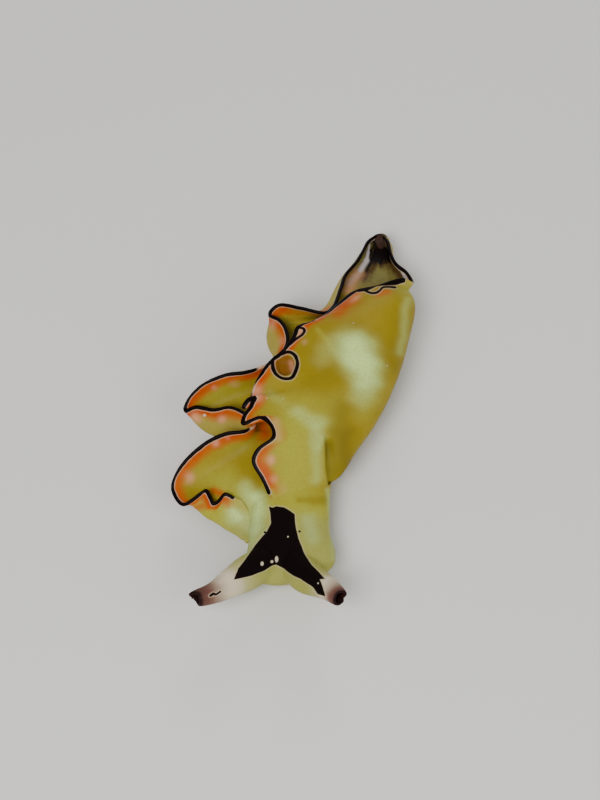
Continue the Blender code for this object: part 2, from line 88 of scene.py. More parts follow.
# Trunk with the head: station y, midline x, half width, underside z, back z
TRUNK = np.array([
    (-12.3, -2.1, 0.45, 1.45, 1.95), (-12.12, -2.05, 1.3, 1.2, 2.25), (-11.8, -1.8, 2.2, 0.95, 2.5),
    (-11.1, -1.38, 2.79, 0.75, 2.8), (-10.2, -1.2, 2.85, 0.55, 3), (-9, -1.27, 2.62, 0.5, 3.1),
    (-7, -1.3, 2.58, 0.5, 3.2), (-4.5, -1.04, 2.5, 0.5, 3.25), (-2, -0.5, 2.25, 0.5, 3.2),
    (1.5, 0.6, 2.1, 0.5, 3), (5.5, 2.05, 1.9, 0.5, 2.6), (9.5, 3.55, 1.45, 0.5, 2),
    (12, 4.5, 1.05, 0.5, 1.45), (13.8, 4.88, 0.62, 0.5, 1.5), (14.25, 4.95, 0.62, 0.5, 1.72),
    (14.6, 4.98, 0.42, 0.6, 1.7), (14.78, 4.99, 0.18, 0.85, 1.4),
])
TRUNK_POWER = 2.3
HUMP_HIGH, HUMP_AT, HUMP_LONG = 0.35, -2.8, 1.5

# Sole: station y, midline x, half width
SOLE = np.array([
    (-11.22, -1.5, 1), (-11.08, -1.4, 1.75), (-10.75, -1.3, 2.25), (-10.2, -1.25, 2.45), (-9.4, -1.4, 2.1),
    (-7, -1.35, 1.9), (-2, -0.5, 1.75), (4, 1.45, 1.6), (9, 3.2, 1.15), (12.5, 4.35, 0.65),
    (14.5, 4.9, 0.3),
])
SOLE_THICK = 0.75
SOLE_LIP = 0.22
FRONT_LOW = 0.6         # how much lower the foot is at its front

# Root of each flap: station y, angle on the trunk from its own side up towards the back
ROOT_LEFT = np.array([
    (-6.9, 116), (-6.2, 92), (-5.4, 55), (-4.6, 24), (-3.4, 18), (2, 14), (9, 16), (13.7, 30), (14.4, 40),
])
ROOT_RIGHT = np.array([
    (-9.2, -10), (-8.7, -6), (-7.5, 2), (-6.2, 20), (-5, 34), (4, 36), (10, 34), (13.7, 34), (14.4, 40),
])

# Guides of the left flap, which folds over the back: station y, then x, y, z of its belly, shoulder and crown
GUIDES_LEFT = np.array([
    (-6.9, -2.4, -6.7, 3.22, -2.5, -6.68, 3.26, -2.58, -6.65, 3.3),
    (-6.2, -1.6, -6.1, 3.45, -1.95, -6, 3.7, -2.5, -5.9, 3.9),
    (-5.4, 1.1, -5.6, 2.5, 0.1, -5.1, 3.65, -1.7, -4.9, 4.4),
    (-4.6, 1.92, -5.05, 2.2, 1.5, -4.4, 3.3, -0.9, -4, 4.75),
    (-3.4, 2.95, -3.2, 2.3, 2.1, -2.9, 3.75, -0.6, -2.7, 5.1),
    (-1.5, 4.35, -1, 2.5, 3.1, -0.9, 4.3, 0.6, -0.8, 5.35),
    (1, 5.65, 2, 2.75, 4.8, 2, 4.5, 2.3, 1.9, 5.5),
    (4, 6.55, 5.2, 2.85, 5.8, 5.2, 4.4, 3.4, 5, 5.2),
    (7.5, 7, 8.2, 2.6, 6.7, 8.2, 3.6, 5.3, 8.3, 4.2),
    (10, 6.25, 9.9, 1.9, 6.75, 9.8, 2.15, 6.85, 9.8, 2.45),
    (12, 5.65, 11.9, 1.55, 5.75, 12, 1.75, 5.75, 12.1, 1.95),
    (13.7, 5.55, 13.72, 1.45, 5.58, 13.75, 1.6, 5.54, 13.8, 1.75),
    (14.4, 5.2, 14.35, 1.4, 5.15, 14.45, 1.5, 5.1, 14.52, 1.55),
])

# Lowest line of the right flap's lobes, which its outer wall hangs to before it rises to the edge
KEEL = np.array([
    (-9.2, -4.05, -9.2, 1.25), (-8.7, -4.6, -8.85, 1.2), (-8.2, -5.2, -8.55, 1.05), (-7.7, -5.75, -8.1, 1),
    (-7.3, -6.25, -7.7, 1.05), (-6.8, -6.95, -7.3, 1.2), (-6.5, -7.35, -7, 1.3), (-6.1, -7.8, -6.45, 1.4),
    (-5.4, -7.7, -5.4, 1.5), (-4.7, -7, -4.5, 1.8), (-4, -6, -3.7, 2.3), (-3.3, -4.9, -3.1, 2.9),
    (-2.7, -4, -2.6, 3.25), (-2.3, -3.5, -2.15, 3.2), (-1.9, -4.1, -1.9, 2.65), (-1.5, -5.1, -1.85, 2),
    (-1, -6.3, -1.5, 1.45), (-0.5, -7.2, -0.95, 1.45), (0.1, -7.6, -0.05, 1.6), (0.6, -7.05, 0.6, 1.9),
    (1.1, -6.1, 1.1, 2.3), (1.8, -4.9, 1.6, 2.8), (2.5, -3.7, 2, 3.1), (3, -2.9, 2.5, 3.2),
    (3.6, -2.25, 3.1, 3.05), (4.4, -2.5, 4, 2.4), (5.1, -3, 5.1, 2), (5.7, -3.1, 6.1, 1.85),
    (6.3, -2.4, 6.9, 1.9), (6.9, -1.4, 7.3, 2.2), (7.5, -0.4, 7.2, 2.7), (8.1, 0.6, 7.2, 2.8),
    (8.7, 1.1, 7.85, 2.45), (9.6, 1.6, 9.25, 2.05), (10.8, 2.15, 10.6, 1.9), (12, 3.15, 11.95, 1.75),
    (13.7, 4.1, 13.8, 1.6), (14.4, 4.7, 14.45, 1.45),
])

# Free edges from front to rear with their frills: station y that they grow from, then the edge's x, y, z
EDGE_LEFT = np.array([
    # front end on the neck, and the first flounce
    (-6.9, -2.64, -6.6, 3.3), (-6.5, -2.8, -6.3, 3.6), (-6, -3.1, -5.8, 3.95), (-5.3, -3.65, -4.8, 4.4),
    (-4.8, -3.35, -4.2, 4.75), (-4.2, -2.4, -3.6, 5.2), (-3.5, -2.55, -2.6, 5.25), (-3, -3.2, -2, 5.1),
    # pointed turn with its hook, whose end curls under
    (-2.6, -3.8, -2.1, 4.9), (-2.2, -4.35, -2.3, 4.75), (-1.8, -4.25, -1.7, 4.75),
    (-1.45, -3.88, -1.18, 4.9), (-1.15, -3.7, -0.7, 4.95), (-0.9, -3.85, -0.45, 4.92),
    (-0.65, -4.12, -0.62, 4.8), (-0.4, -4.35, -0.98, 4.6), (-0.1, -4, -0.6, 4.35), (0.2, -3.72, 0.05, 4.5),
    (0.5, -3.52, 0.58, 4.85),
    # stretch over the back, past the funnel and the small loop
    (0.9, -3.22, 1.16, 5.02), (1.3, -2.88, 1.75, 5.1), (1.8, -2.45, 2.25, 5.18), (2.4, -1.98, 2.6, 5.26),
    (3, -1.58, 3.1, 5.32), (3.5, -1.31, 3.53, 5.3), (3.9, -1, 4.11, 5.28), (4.2, -0.82, 4.7, 5.26),
    (4.45, -0.44, 4.95, 5.22), (4.8, 0.02, 5.1, 5.15), (5.2, 0.45, 5.45, 4.95), (5.6, 0.9, 5.9, 4.7),
    (6.6, 1.85, 7.05, 4.3), (7.6, 3.05, 8.25, 4.1), (8.6, 4.6, 8.8, 3.9), (9.4, 6.3, 9.7, 3.4),
    # side of the tail
    (10, 7, 9.85, 2.7), (10.7, 6.65, 10.9, 2.4), (11.4, 6, 11.55, 2.4), (12.4, 5.63, 12.6, 2.1),
    (13, 5.5, 13.2, 1.98), (13.7, 5.36, 13.85, 1.85), (14.4, 5, 14.6, 1.6),
])
EDGE_RIGHT = np.array([
    # front end along the side of the neck, and the first lobe
    (-9.2, -3.85, -9.05, 1.55), (-8.6, -3.98, -8.1, 2), (-8.1, -4.15, -7.25, 2.45),
    (-7.85, -4.5, -6.8, 2.6), (-7.6, -4.91, -6.62, 2.62), (-7.4, -5.2, -6.42, 2.66),
    (-7.2, -5.55, -6.34, 2.66), (-7.05, -5.87, -6.74, 2.56), (-6.9, -6.22, -6.93, 2.5),
    (-6.75, -6.4, -6.58, 2.58), (-6.55, -6.68, -6.02, 2.6), (-6.35, -7.1, -6.18, 2.42),
    (-6.15, -7.6, -6.5, 2.2), (-5.9, -8.15, -6.72, 1.92), (-5.4, -8.9, -5.7, 1.9), (-4.7, -8.4, -4.3, 2.6),
    (-4, -6.95, -3.1, 3.4), (-3.3, -5.45, -2.5, 3.85), (-2.7, -4.15, -2.35, 3.95), (-2.3, -3.55, -1.8, 3.8),
    # second lobe
    (-1.9, -4.2, -1, 3.8), (-1.5, -5.15, -0.45, 3.65), (-1, -6.3, -0.3, 3.1), (-0.5, -7.4, 0.1, 2.8),
    (0.1, -8.25, 0.1, 2.3), (0.6, -7.95, 0.8, 2.7), (1.1, -7.15, 1.45, 3.2), (1.8, -5.6, 2, 3.7),
    (2.5, -4.2, 2.15, 3.85), (3, -3.3, 2.45, 3.85), (3.6, -2.2, 3.15, 3.75),
    # third lobe
    (4.4, -1.45, 4.4, 3.85), (5.1, -1.6, 5.7, 3.6), (5.7, -2.05, 6.55, 3.3), (6.3, -2.7, 7.25, 2.9),
    (6.9, -2, 7.8, 3.2), (7.5, -0.6, 7.3, 3.6), (8.1, 0.95, 6.85, 3.7),
    # side of the tail
    (8.7, 1.6, 7.5, 3.35), (9.6, 2.12, 9.2, 2.9), (10.8, 2.5, 10.6, 2.6), (12, 3.32, 11.9, 2.35),
    (12.9, 3.75, 12.9, 2.15), (13.7, 4.12, 13.8, 1.95), (14.4, 4.78, 14.6, 1.6),
])

# Where the guides lie on a column, where its frills start, and how far the edge is evened out to make its hem
LEFT_PLACES, LEFT_FRILL_FROM, LEFT_HEM = (0.0, 0.1, 0.3, 0.52, 0.74, 1.0), 0.72, 0.5
RIGHT_PLACES, RIGHT_FRILL_FROM, RIGHT_HEM = (0.0, 0.1, 0.36, 0.64, 1.0), 0.64, 0.8

# Rhinophores, from base to tip: place along, x, y, z, radius
RHINO_RIGHT = np.array([
    (0, -2.7, -10.75, 2.05, 1.05), (0.25, -3.86, -11.72, 2.3, 1.12), (0.55, -5.07, -12.76, 2.75, 0.92),
    (0.8, -6.12, -13.6, 3.1, 0.68), (1, -7.1, -14.08, 3.3, 0.54),
])
RHINO_LEFT = np.array([
    (0, -1.05, -10.95, 2.05, 1.05), (0.25, -0.3, -12.02, 2.4, 1.12), (0.55, 0.62, -12.95, 3.1, 0.88),
    (0.8, 1.32, -13.7, 3.7, 0.72), (1, 1.88, -14.42, 4.1, 0.56),
])
SLIT_ANGLE, SLIT_WIDE, SLIT_DEPTH = -35.0, 0.42, 0.55
TIP_RIGHT, TIP_LEFT = ((0.38, 0.05), 1.0), ((0.1, 0.1), 1.9)    # reach of the lips, how late the colours come

MOUTH = np.array([-2.00, -11.52, 0.86])
LOBE_APART = 0.50
LOBE_RADII = (0.42, 0.42, 0.38)
EYES = {"eye_left": np.array([-0.66, -9.25, 2.97]), "eye_right": np.array([-2.87, -9.25, 2.85])}
EYE_COVER = 0.130       # how far above an eye's centre the skin closes round it
EYE_CLOSE = (0.10, 0.45)        # the skin is drawn up to this near an eye, from this far away
EYE_ABOVE = 2.2         # only skin above this height is

# Camera of the photo: it looks along +Y, down by CAMERA_UP degrees, from CAMERA_FAR millimetres away
CAMERA_UP, CAMERA_FAR, CAMERA_AT = 60.0, 160.0, (-0.63, 1.37, 1.5)
PIXELS_PER_MM, LONG_SIDE = 15.0, 800
SENSOR_WIDE, CLIP = 36, (0.001, 5)
SIGHT = np.array([0, -math.cos(math.radians(CAMERA_UP)), math.sin(math.radians(CAMERA_UP))])
BACK_PER_UP = 1 / math.tan(math.radians(CAMERA_UP))     # how far a marking drawn on a slope slides back

# Black line along the free edges: how wide it is at stations, as a share of its usual width
LINE_LEFT = np.array([
    (-6.95, 0), (-6.85, 0.8), (-6, 1), (-1.3, 1), (-1.1, 1.6), (-0.7, 1.4), (-0.3, 0.5), (0.1, 0.1),
    (0.6, 0.2), (0.95, 0.8), (1.5, 1), (4.7, 1), (4.95, 0), (5.4, 0), (5.7, 0.9), (6.4, 1.2), (7.7, 1.2),
    (8.2, 2), (9, 2), (9.4, 1.4), (9.55, 0), (9.9, 0), (10.05, 1), (14.4, 1),
])
LINE_RIGHT = np.array([
    (-7.68, 0), (-7.58, 0.9), (-7, 1), (-5.6, 0.95), (-5.1, 0.65), (-4.6, 0.9), (-3.4, 1.1), (-2.75, 0.9),
    (-2.5, 0.1), (-2.2, 0.1), (-2, 0.8), (-0.4, 1), (0.2, 0.9), (0.6, 0.6), (1.3, 0.7), (2, 1), (2.7, 0.9),
    (3, 0.3), (3.7, 0.3), (4.1, 0.9), (6.6, 1), (7.8, 0.8), (8.6, 0.8), (9.2, 1), (14.4, 1),
])
LINE_THIN = 0.20        # how much narrower it is at 0 than at 1, in millimetres
TURNED_MORE, TURNED_LIMITS = 0.16, (-0.04, 0.16)        # how much wider it is where the face turns away
LEAST_SLANT, SLANT_REACH = 0.3, (0.4, 1.4)  # a column that meets the edge aslant is longer than the way to it
LINE_SIDE, LINE_BORDER = (0.18, 0.13), (0.24, 0.18)     # where the black and its cream border end
MARK_SIDE, MARK_BORDER = (-0.03, 0.03), (-0.11, -0.04)  # the same for the mark and strokes
LINE_WANDER = 0.12      # how far all these lines wander

# Outline of the black mark on the head, drawn at HEAD_TOP, as x and y. It lies before and above these places
HEAD_TOP = 3.0
HEAD_MARK = np.array([
    (-2.65, -7.37), (-2.39, -7.5), (-2.17, -7.37), (-1.66, -7.45), (-1.29, -7.66), (-0.95, -7.95),
    (-0.95, -8.45), (-0.84, -9.19), (-0.62, -10.01), (-0.33, -10.82), (0.11, -11.55), (0.61, -12.04),
    (0.94, -12.44), (0.61, -12.48), (0.82, -13.08), (0.97, -13.68), (0.46, -13.56), (0.18, -13.08),
    (-0.55, -12.56), (-1.06, -12.32), (-1.64, -11.88), (-2.15, -11.59), (-2.37, -11.64), (-2.91, -12),
    (-3.67, -12.32), (-4.8, -12.56), (-4.55, -11.79), (-4.05, -11.07), (-3.47, -10.17), (-2.75, -9.19),
    (-2.49, -8.61), (-2.54, -7.95),
])
HEAD_BEFORE, HEAD_ABOVE, FAR_FROM_MARK = -6.5, 1.2, -5.0
FLECKS = (
    (-3.03, -11.47, 0.13, 0.2), (-2.12, -11.19, 0.14, 0.3), (-2.41, -11.35, 0.12, 0.14),
    (-1.4, -9.57, 0.07, 0.07), (0.5, -12.76, 0.07, 0.07), (-6.92, -0.66, 0.15, 0.15),
    (-2.78, 0.63, 0.05, 0.07), (-1.73, 0.62, 0.05, 0.06), (5.1, 3.1, 0.05, 0.06), (2.89, 6.37, 0.05, 0.06),
    (4.52, 1.9, 0.04, 0.05),
)

# Black strokes drawn at PATCH_HEIGHT on the left flap's upper face, as half width and the points along them:
# round the funnel, on the far side of the small loop, and where the hem's line has a second branch
STROKES = (
    (0.12, ((-1.98, 3.91), (-2.34, 3.62), (-2.43, 3.12), (-2.22, 2.48), (-1.72, 2.12), (-1.17, 2.19),
            (-0.89, 2.76), (-0.8, 3.34), (-0.99, 3.91), (-1.42, 4.13), (-1.98, 3.91))),
    (0.1, ((-1.31, 4.72), (-0.88, 5.15), (-0.51, 5.44), (-0.34, 5.74), (-0.44, 5.97), (-0.85, 6.02))),
    (0.14, ((3.3, 8.98), (3.84, 9.1), (4.37, 9.37), (4.8, 9.59), (5.48, 9.76), (6.3, 9.92))),
    (0.1, ((3.72, 8.98), (4.1, 8.78), (4.45, 8.78), (4.72, 8.98), (4.95, 9.24), (5.4, 9.28), (5.77, 9.26))),
)
STROKES_ABOVE = 3.0
HEAD_STROKE = (0.08, ((-6.24, -13.66), (-6.05, -13.52), (-5.9, -13.58), (-5.63, -13.38)))
FUNNEL_AT, FUNNEL_RADII = (-1.62, 3.12), (0.74, 0.92)
FUNNEL_DEEP, FUNNEL_LIP, FUNNEL_ABOVE = 0.45, 0.10, 4.2

# Soft patches of colour, drawn at a height. Letters say what each is for: l or i the left flap's outer or
# inner face, r the right flap, b the body, c the tail's cup. It runs from x, y to x, y, with its radius and
# strength. Glow is orange beyond the hem's own band
PATCH_HEIGHT, PATCH_WANDER = 3.0, 0.12
# Mint patches are partly pale mint flesh and partly painted highlight, brightest on the left flap's bulge and
# along the neck
PATCHES = {"mint_and_highlight": (
    ("l", 3.1, 4.5, 3.45, 3.55, 1.18, 0.95), ("l", 2.5, 4.9, 2.75, 3.4, 0.8, 0.4),
    ("l", 3.45, 3.2, 3.65, 2, 1, 0.65), ("l", 3.6, 1.5, 3.4, 0.6, 0.9, 0.35),
    ("l", 1.2, 4.9, 0.8, 3.6, 0.8, 0.22), ("l", -2.55, 0.95, -1.9, 0.4, 0.45, 0.25),
    ("l", -0.8, -0.45, 0.55, -1.2, 0.7, 0.42), ("lb", 0.3, -1.5, 0.45, -5.4, 0.5, 0.35),
    ("l", 4.75, 1.1, 4.55, 0.3, 0.6, 0.08), ("l", 6.55, 8.2, 6.04, 4.12, 0.42, 0.34),
    ("l", 0.8, -2.3, 0.62, -2.95, 0.36, 0.35), ("lrb", -3.35, -6.75, -3.45, -8.95, 0.64, 0.8),
    ("r", -4.93, -8.02, -4.73, -8.31, 0.7, 0.8), ("b", -0.1, -8.3, 0.25, -9.6, 0.6, 0.48),
    ("r", -4.12, -5.98, -3.98, -6.71, 0.65, 0.45), ("b", 1.2, -6.2, 1.5, -11.23, 0.22, 0.45),
    ("b", -3.62, -9.4, -3.8, -10.8, 0.5, 0.5), ("b", -2.9, -12.4, -0.9, -12.6, 0.6, 0.15),
# Yellow patches are pale yellow flesh; those on the right flap's lobes also paint light into channels that
# lie in shade
), "yellow_and_painted_light": (
    ("lb", -0.83, -1.39, -1.15, -6.71, 2.09, 1), ("r", -5.48, -5.77, -4.48, -7.66, 0.92, 0.9),
    ("r", -5.63, -8.38, -4.46, -9.24, 0.78, 0.8), ("r", -6.19, -1.91, -4.88, -2.51, 0.39, 0.4),
    ("r", -7, -5, -5.4, -5.6, 1.1, 0.5), ("r", -6.6, 0.75, -4.9, 0.95, 0.9, 0.6),
    ("r", -1.6, 6.6, -0.7, 6.8, 0.9, 0.75), ("r", -4.35, -6.85, -3.9, -7.3, 0.62, 1),
    ("l", 6.6, 9.7, 7.3, 9.2, 1.05, 1), ("l", 1.7, 0.6, 1.3, -0.4, 0.7, 0.3),
    ("l", -0.1, 0.55, 1.3, 0.1, 0.55, 0.4), ("l", 3.4, -0.6, 4.3, 0.6, 0.7, 0.35),
    ("r", -5.2, -3.2, -4.4, -3, 0.7, 0.4), ("l", 0.52, 5.9, 2.7, 2.7, 0.17, 0.6),
# The next patches are painted shade: darker olive along the crease between the neck and the bulge, its dark
# line, and other shaded places
), "painted_shade": (
    ("lb", 1.32, -3.41, 2.55, -4.44, 0.72, 0.8), ("l", 1.87, -0.1, 1.66, -2.51, 0.6, 0.85),
    ("l", 0.83, 2.5, 2.1, -0.8, 0.92, 0.3), ("l", 6.09, 6.56, 5.49, 3.19, 0.8, 0.35),
    ("b", -0.69, -6.93, 0.98, -6.93, 0.26, 0.75), ("r", -5.08, -1.76, -4.16, -2.21, 0.52, 0.4),
    ("lb", 2.35, -2.1, 1.7, -4.6, 0.75, 0.95), ("b", 0.2, -7, 1, -7.1, 0.35, 0.6),
    ("lb", 1.9, -4.6, 2.1, -5.2, 0.5, 0.7), ("lb", 1.5, -2.9, 1.62, -5.1, 0.28, 0.95),
), "glow": (
    ("irb", -3.15, -1.3, -2.92, -2.05, 0.45, 1), ("r", -6.24, -6.3, -5.75, -6.52, 0.26, 0.9),
    ("r", -7.7, -7.62, -6.8, -7.34, 0.3, 0.7), ("r", -1.2, 6.9, -0.6, 6.9, 0.5, 0.25),
    ("l", 1.93, 7.3, 2.75, 8.2, 0.55, 0.9), ("l", -3, -4.3, -2.38, -6.02, 0.42, 1),
    ("l", 4.6, 8.72, 5.2, 8.86, 0.28, 0.8), ("l", -1.2, 5.9, 0.6, 6.7, 0.3, 0.5),
), "spot": (
    ("l", -2.22, -1.1, -2.05, -2.3, 0.3, 0.45), ("l", -2.48, -3.89, -2.48, -3.98, 0.3, 1),
    ("l", -2.3, -5.36, -2.27, -5.44, 0.26, 0.6), ("l", -3.44, 1.23, -3.32, 0.74, 0.39, 0.8),
    ("l", -2.96, -2.07, -2.96, -2.36, 0.23, 0.5), ("l", -0.56, 2.86, -0.56, 2.67, 0.26, 1),
    ("l", -0.3, 4.9, -0.27, 4.82, 0.2, 0.5), ("l", 3.2, 8.22, 3.36, 8.05, 0.42, 0.95),
    ("l", 5.28, 8.92, 5.5, 8.8, 0.3, 0.9), ("r", -6.08, -2.7, -6.08, -2.78, 0.23, 0.9),
    ("r", -7.82, -5.21, -7.71, -5.49, 0.33, 0.8), ("r", -5.34, -2.36, -5.3, -2.4, 0.16, 0.3),
    ("r", -6.33, 1.48, -6.28, 1.42, 0.2, 0.5), ("r", -5.06, 1.72, -4.85, 1.62, 0.26, 0.35),
    ("r", -7.58, -0.78, -7.51, -0.91, 0.33, 1), ("r", -5.78, -0.97, -5.78, -1.05, 0.26, 0.9),
    ("r", -2.45, 6.51, -2.54, 6.11, 0.26, 0.5), ("r", -1.85, 5.1, -1.85, 4.9, 0.26, 0.4),
    ("l", -1.56, -6.15, -1.51, -6.22, 0.46, 0.3), ("l", -1.2, 3.3, -1.12, 2.71, 0.2, 0.7),
    ("l", -0.92, 5.55, -0.62, 5.8, 0.16, 0.9),
)}
# Where the hem's band is bare of orange, also from these stations of the left and the right flap on
BARE = (
    ("l", -2.15, -1, -1.95, -2.45, 0.62, 1), ("l", 6, 9.55, 6.9, 9.6, 0.55, 1),
    ("l", -2.45, -6.35, -2.2, -6.9, 0.3, 1), ("r", -0.9, 7.55, 0.4, 7.2, 0.5, 0.5),
    ("r", -4.75, -7.2, -4.1, -7.51, 0.45, 1),
)
PLAIN_FROM = (9.0, 7.3)
TAIL_HEIGHT, TAIL_END, TAIL_STREAKS = 1.8, (4.9, 14.4), 0.10
TAIL_PATCHES = {"tail_white": (
    ("c", 4.18, 13.6, 4.1, 13.1, 0.07, 0.8), ("c", 4.08, 13, 3.95, 12.4, 0.13, 0.8),
    ("c", 3.9, 12.3, 3.55, 11.55, 0.24, 0.75), ("c", 3.25, 11.05, 2.75, 10.4, 0.4, 0.35),
    ("c", 6.35, 11.3, 6.8, 10.38, 0.1, 0.9),
), "tail_pink": (("c", 3.3, 11.2, 2.6, 9.8, 0.45, 0.55),), "tail_black": (
    ("cb", 4.85, 14.05, 4.8, 12.72, 0.62, 1), ("c", 5.25, 13.1, 5.5, 12.35, 0.3, 1),
    ("c", 4.2, 13, 4.02, 12.15, 0.24, 1), ("c", 4.02, 12.05, 3.93, 11.45, 0.2, 0.7),
    ("cb", 4.55, 14.6, 5.25, 14.6, 0.22, 1),
), "tail_brown": (
    ("c", 4.2, 12.2, 4.1, 11.6, 0.38, 1), ("c", 4.1, 11.6, 3.75, 10.9, 0.36, 1),
    ("c", 5.6, 12.2, 5.9, 11.6, 0.4, 1), ("c", 5.9, 11.6, 6.35, 11, 0.36, 1),
    ("c", 4.4, 12.2, 5.4, 12.15, 0.46, 1),
), "tail_tip": (("cb", 5.02, 14.1, 5.1, 13.65, 0.34, 0.9),)}

# Crease between the neck's part of the left flap and its bulge, as x, y at PATCH_HEIGHT
CREASE = np.array([(0.98, -1.9), (1.02, -2.6), (1.06, -3.26), (1.08, -4.15), (1.14, -5), (1.28, -6.4)])
CREASE_DEEP = 0.70
CREASE_NECK, CREASE_BULGE = (0.05, 0.05), (0.30, 0.90)  # how wide each side is, at its start and end

# Colours as linear red, green and blue
# The last olive is painted shade; the dark olive is the flesh's clouded tone, and painted shade where shade
# lies on yellow
OLIVE, OLIVE_DARK, OLIVE_SHADE = (0.31, 0.225, 0.014), (0.205, 0.140, 0.007), (0.168, 0.116, 0.008)
# Pale and bright mint are partly flesh colour and partly painted highlight
# Pale yellow is also painted light, on the right lobes
YELLOW_PALE, MINT_PALE, MINT_BRIGHT = (0.37, 0.345, 0.036), (0.44, 0.52, 0.15), (0.60, 0.77, 0.25)
# The grey green is painted shade over the head
WALL, HEAD_SHADE = (0.36, 0.29, 0.055), (0.25, 0.27, 0.12)
ORANGE_DEEP, ORANGE_LIGHT, PINK = (0.46, 0.060, 0.001), (0.47, 0.098, 0.004), (0.68, 0.30, 0.165)
BLACK, CREAM, WHITE = (0.004, 0.0012, 0.0012), (0.56, 0.44, 0.30), (0.60, 0.51, 0.36)
BROWN, RHINO_PALE, RHINO_DARK = (0.14, 0.060, 0.045), (0.46, 0.42, 0.20), (0.012, 0.004, 0.004)
CUP, FUNNEL, LILAC = (0.17, 0.15, 0.042), (0.21, 0.088, 0.008), (0.50, 0.43, 0.42)
TAIL_DARK, TIP_BROWN = (0.036, 0.010, 0.006), (0.042, 0.019, 0.013)
BAND_WIDE = (1.3, 0.45)         # width of the orange band, as what its noise is multiplied by and added to
BUMP_STRENGTH, BUMP_HIGH = 0.25, 0.03
SKIN_ROUGH, MARK_ROUGHER = 0.42, 0.35
SKIN_SHADER = {"Specular IOR Level": 0.06, "Subsurface Weight": 0.4, "Subsurface Radius": (1.0, 0.8, 0.3),
               "Subsurface Scale": 0.4 * MM}
EYE_COLOUR, EYE_ROUGH = (0.004, 0.003, 0.003), 0.12

# Floor in metres, lamps with their names, places and sizes in millimetres and power in watts, and sky
FLOOR_SIZE, FLOOR_BELOW, FLOOR_COLOUR, FLOOR_ROUGH = 1.2, 0.00001, (0.74, 0.72, 0.68), 0.8
LAMPS = (("key", (-60, -110, 170), 110, 0.36), ("fill", (120, -90, 110), 140, 0.12),
         ("back", (30, 160, 90), 100, 0.10))
SKY_COLOUR, SKY_POWER = (0.9, 0.95, 1.0), 0.35


def spline(rows, at):
    """Smooth curve through the rows, whose first column rises. Returns the other columns at these places."""
    t, p = rows[:, 0], rows[:, 1:]
    slope = np.gradient(p, t, axis=0)
    at = np.clip(np.asarray(at, float), t[0], t[-1])
    i = np.clip(np.searchsorted(t, at, side="right") - 1, 0, len(t) - 2)
    step = (t[i + 1] - t[i])[..., None]
    u = (at - t[i])[..., None] / step
    return ((2 * u**3 - 3 * u**2 + 1) * p[i] + (u**3 - 2 * u**2 + u) * step * slope[i]
            + (3 * u**2 - 2 * u**3) * p[i + 1] + (u**3 - u**2) * step * slope[i + 1])


def unit(vectors):
    return vectors / np.maximum(norm(vectors, axis=-1, keepdims=True), 1e-9)


def ease(value, low, high):
    """0 below low, 1 above high, and a smooth rise between them."""
    u = np.clip((value - low) / (high - low), 0, 1)
    return u * u * (3 - 2 * u)


def trunk_point(y, angle, depth=0.0):
    """Point on the trunk at station y. The angle runs from +X over the back, depth in to the core."""
    x, half, low, high = np.moveaxis(spline(TRUNK, y), -1, 0)
    high = high + HUMP_HIGH * np.exp(-((y - HUMP_AT) / HUMP_LONG) ** 2)
    c, s = np.cos(angle), np.sin(angle)
    squared = 2 / TRUNK_POWER
    wide, tall = half * (1 - depth), (high - low) / 2 * (1 - depth)
    return np.stack([x + wide * np.sign(c) * np.abs(c) ** squared,
                     np.broadcast_to(y, np.shape(x + c)).astype(float),
                     (low + high) / 2 + tall * np.sign(s) * np.abs(s) ** squared], -1)


def along_edge(rows):
    """Stations and points at even steps along a free edge."""
    fine = np.linspace(rows[0, 0], rows[-1, 0], 6000)
    points = spline(rows, fine)
    length = np.concatenate([[0.0], np.cumsum(norm(np.diff(points, axis=0), axis=1))])
    stations = np.interp(np.arange(0, length[-1], EDGE_STEP), length, fine)
    return stations, spline(rows, stations)


def evened(points, width):
    """The row of points evened out over this many millimetres, with its two ends kept."""
    n = max(1, int(width / EDGE_STEP))
    weight = np.exp(-0.5 * (np.arange(-3 * n, 3 * n + 1) / n) ** 2)
    ahead = 2 * points[0] - points[3 * n:0:-1]
    behind = 2 * points[-1] - points[-2:-3 * n - 2:-1]
    padded = np.concatenate([ahead, points, behind])
    return np.stack([np.convolve(column, weight / weight.sum(), "valid") for column in padded.T], -1)


def evened_along(surface, width):
    """The surface with each of its rows along the flap evened out."""
    return np.stack([evened(surface[:, j], width) for j in range(surface.shape[1])], 1)


def through(guides, places):
    """A sheet through guide curves that lie at these places, from 0 at the root to 1 at the edge."""
    stacked = np.stack(guides)
    rows = np.column_stack([places, stacked.reshape(len(guides), -1)])
    sheet = spline(rows, np.linspace(0, 1, ACROSS))
    return sheet.reshape(ACROSS, *stacked.shape[1:]).swapaxes(0, 1)


def frilled(sheet, frills, start):
    """The sheet with the frills of its edge, from none at this place on a column to all at the edge."""
    share = ease(np.linspace(0, 1, ACROSS), start, 1.0)
    return sheet + share[None, :, None] * frills[:, None, :]


def left_sheet():
    """Station of each column of the left flap, and the flap's middle surface, (along, across, 3)."""
    y, edge = along_edge(EDGE_LEFT)
    angle = np.radians(spline(ROOT_LEFT, y)[:, 0])
    hem = evened(edge, LEFT_HEM)
    belly, shoulder, crown = np.split(spline(GUIDES_LEFT, y), 3, axis=1)
    guides = [trunk_point(y, angle, SUNK), trunk_point(y, angle), belly, shoulder, crown, hem]
    return y, frilled(through(guides, LEFT_PLACES), edge - hem, LEFT_FRILL_FROM)


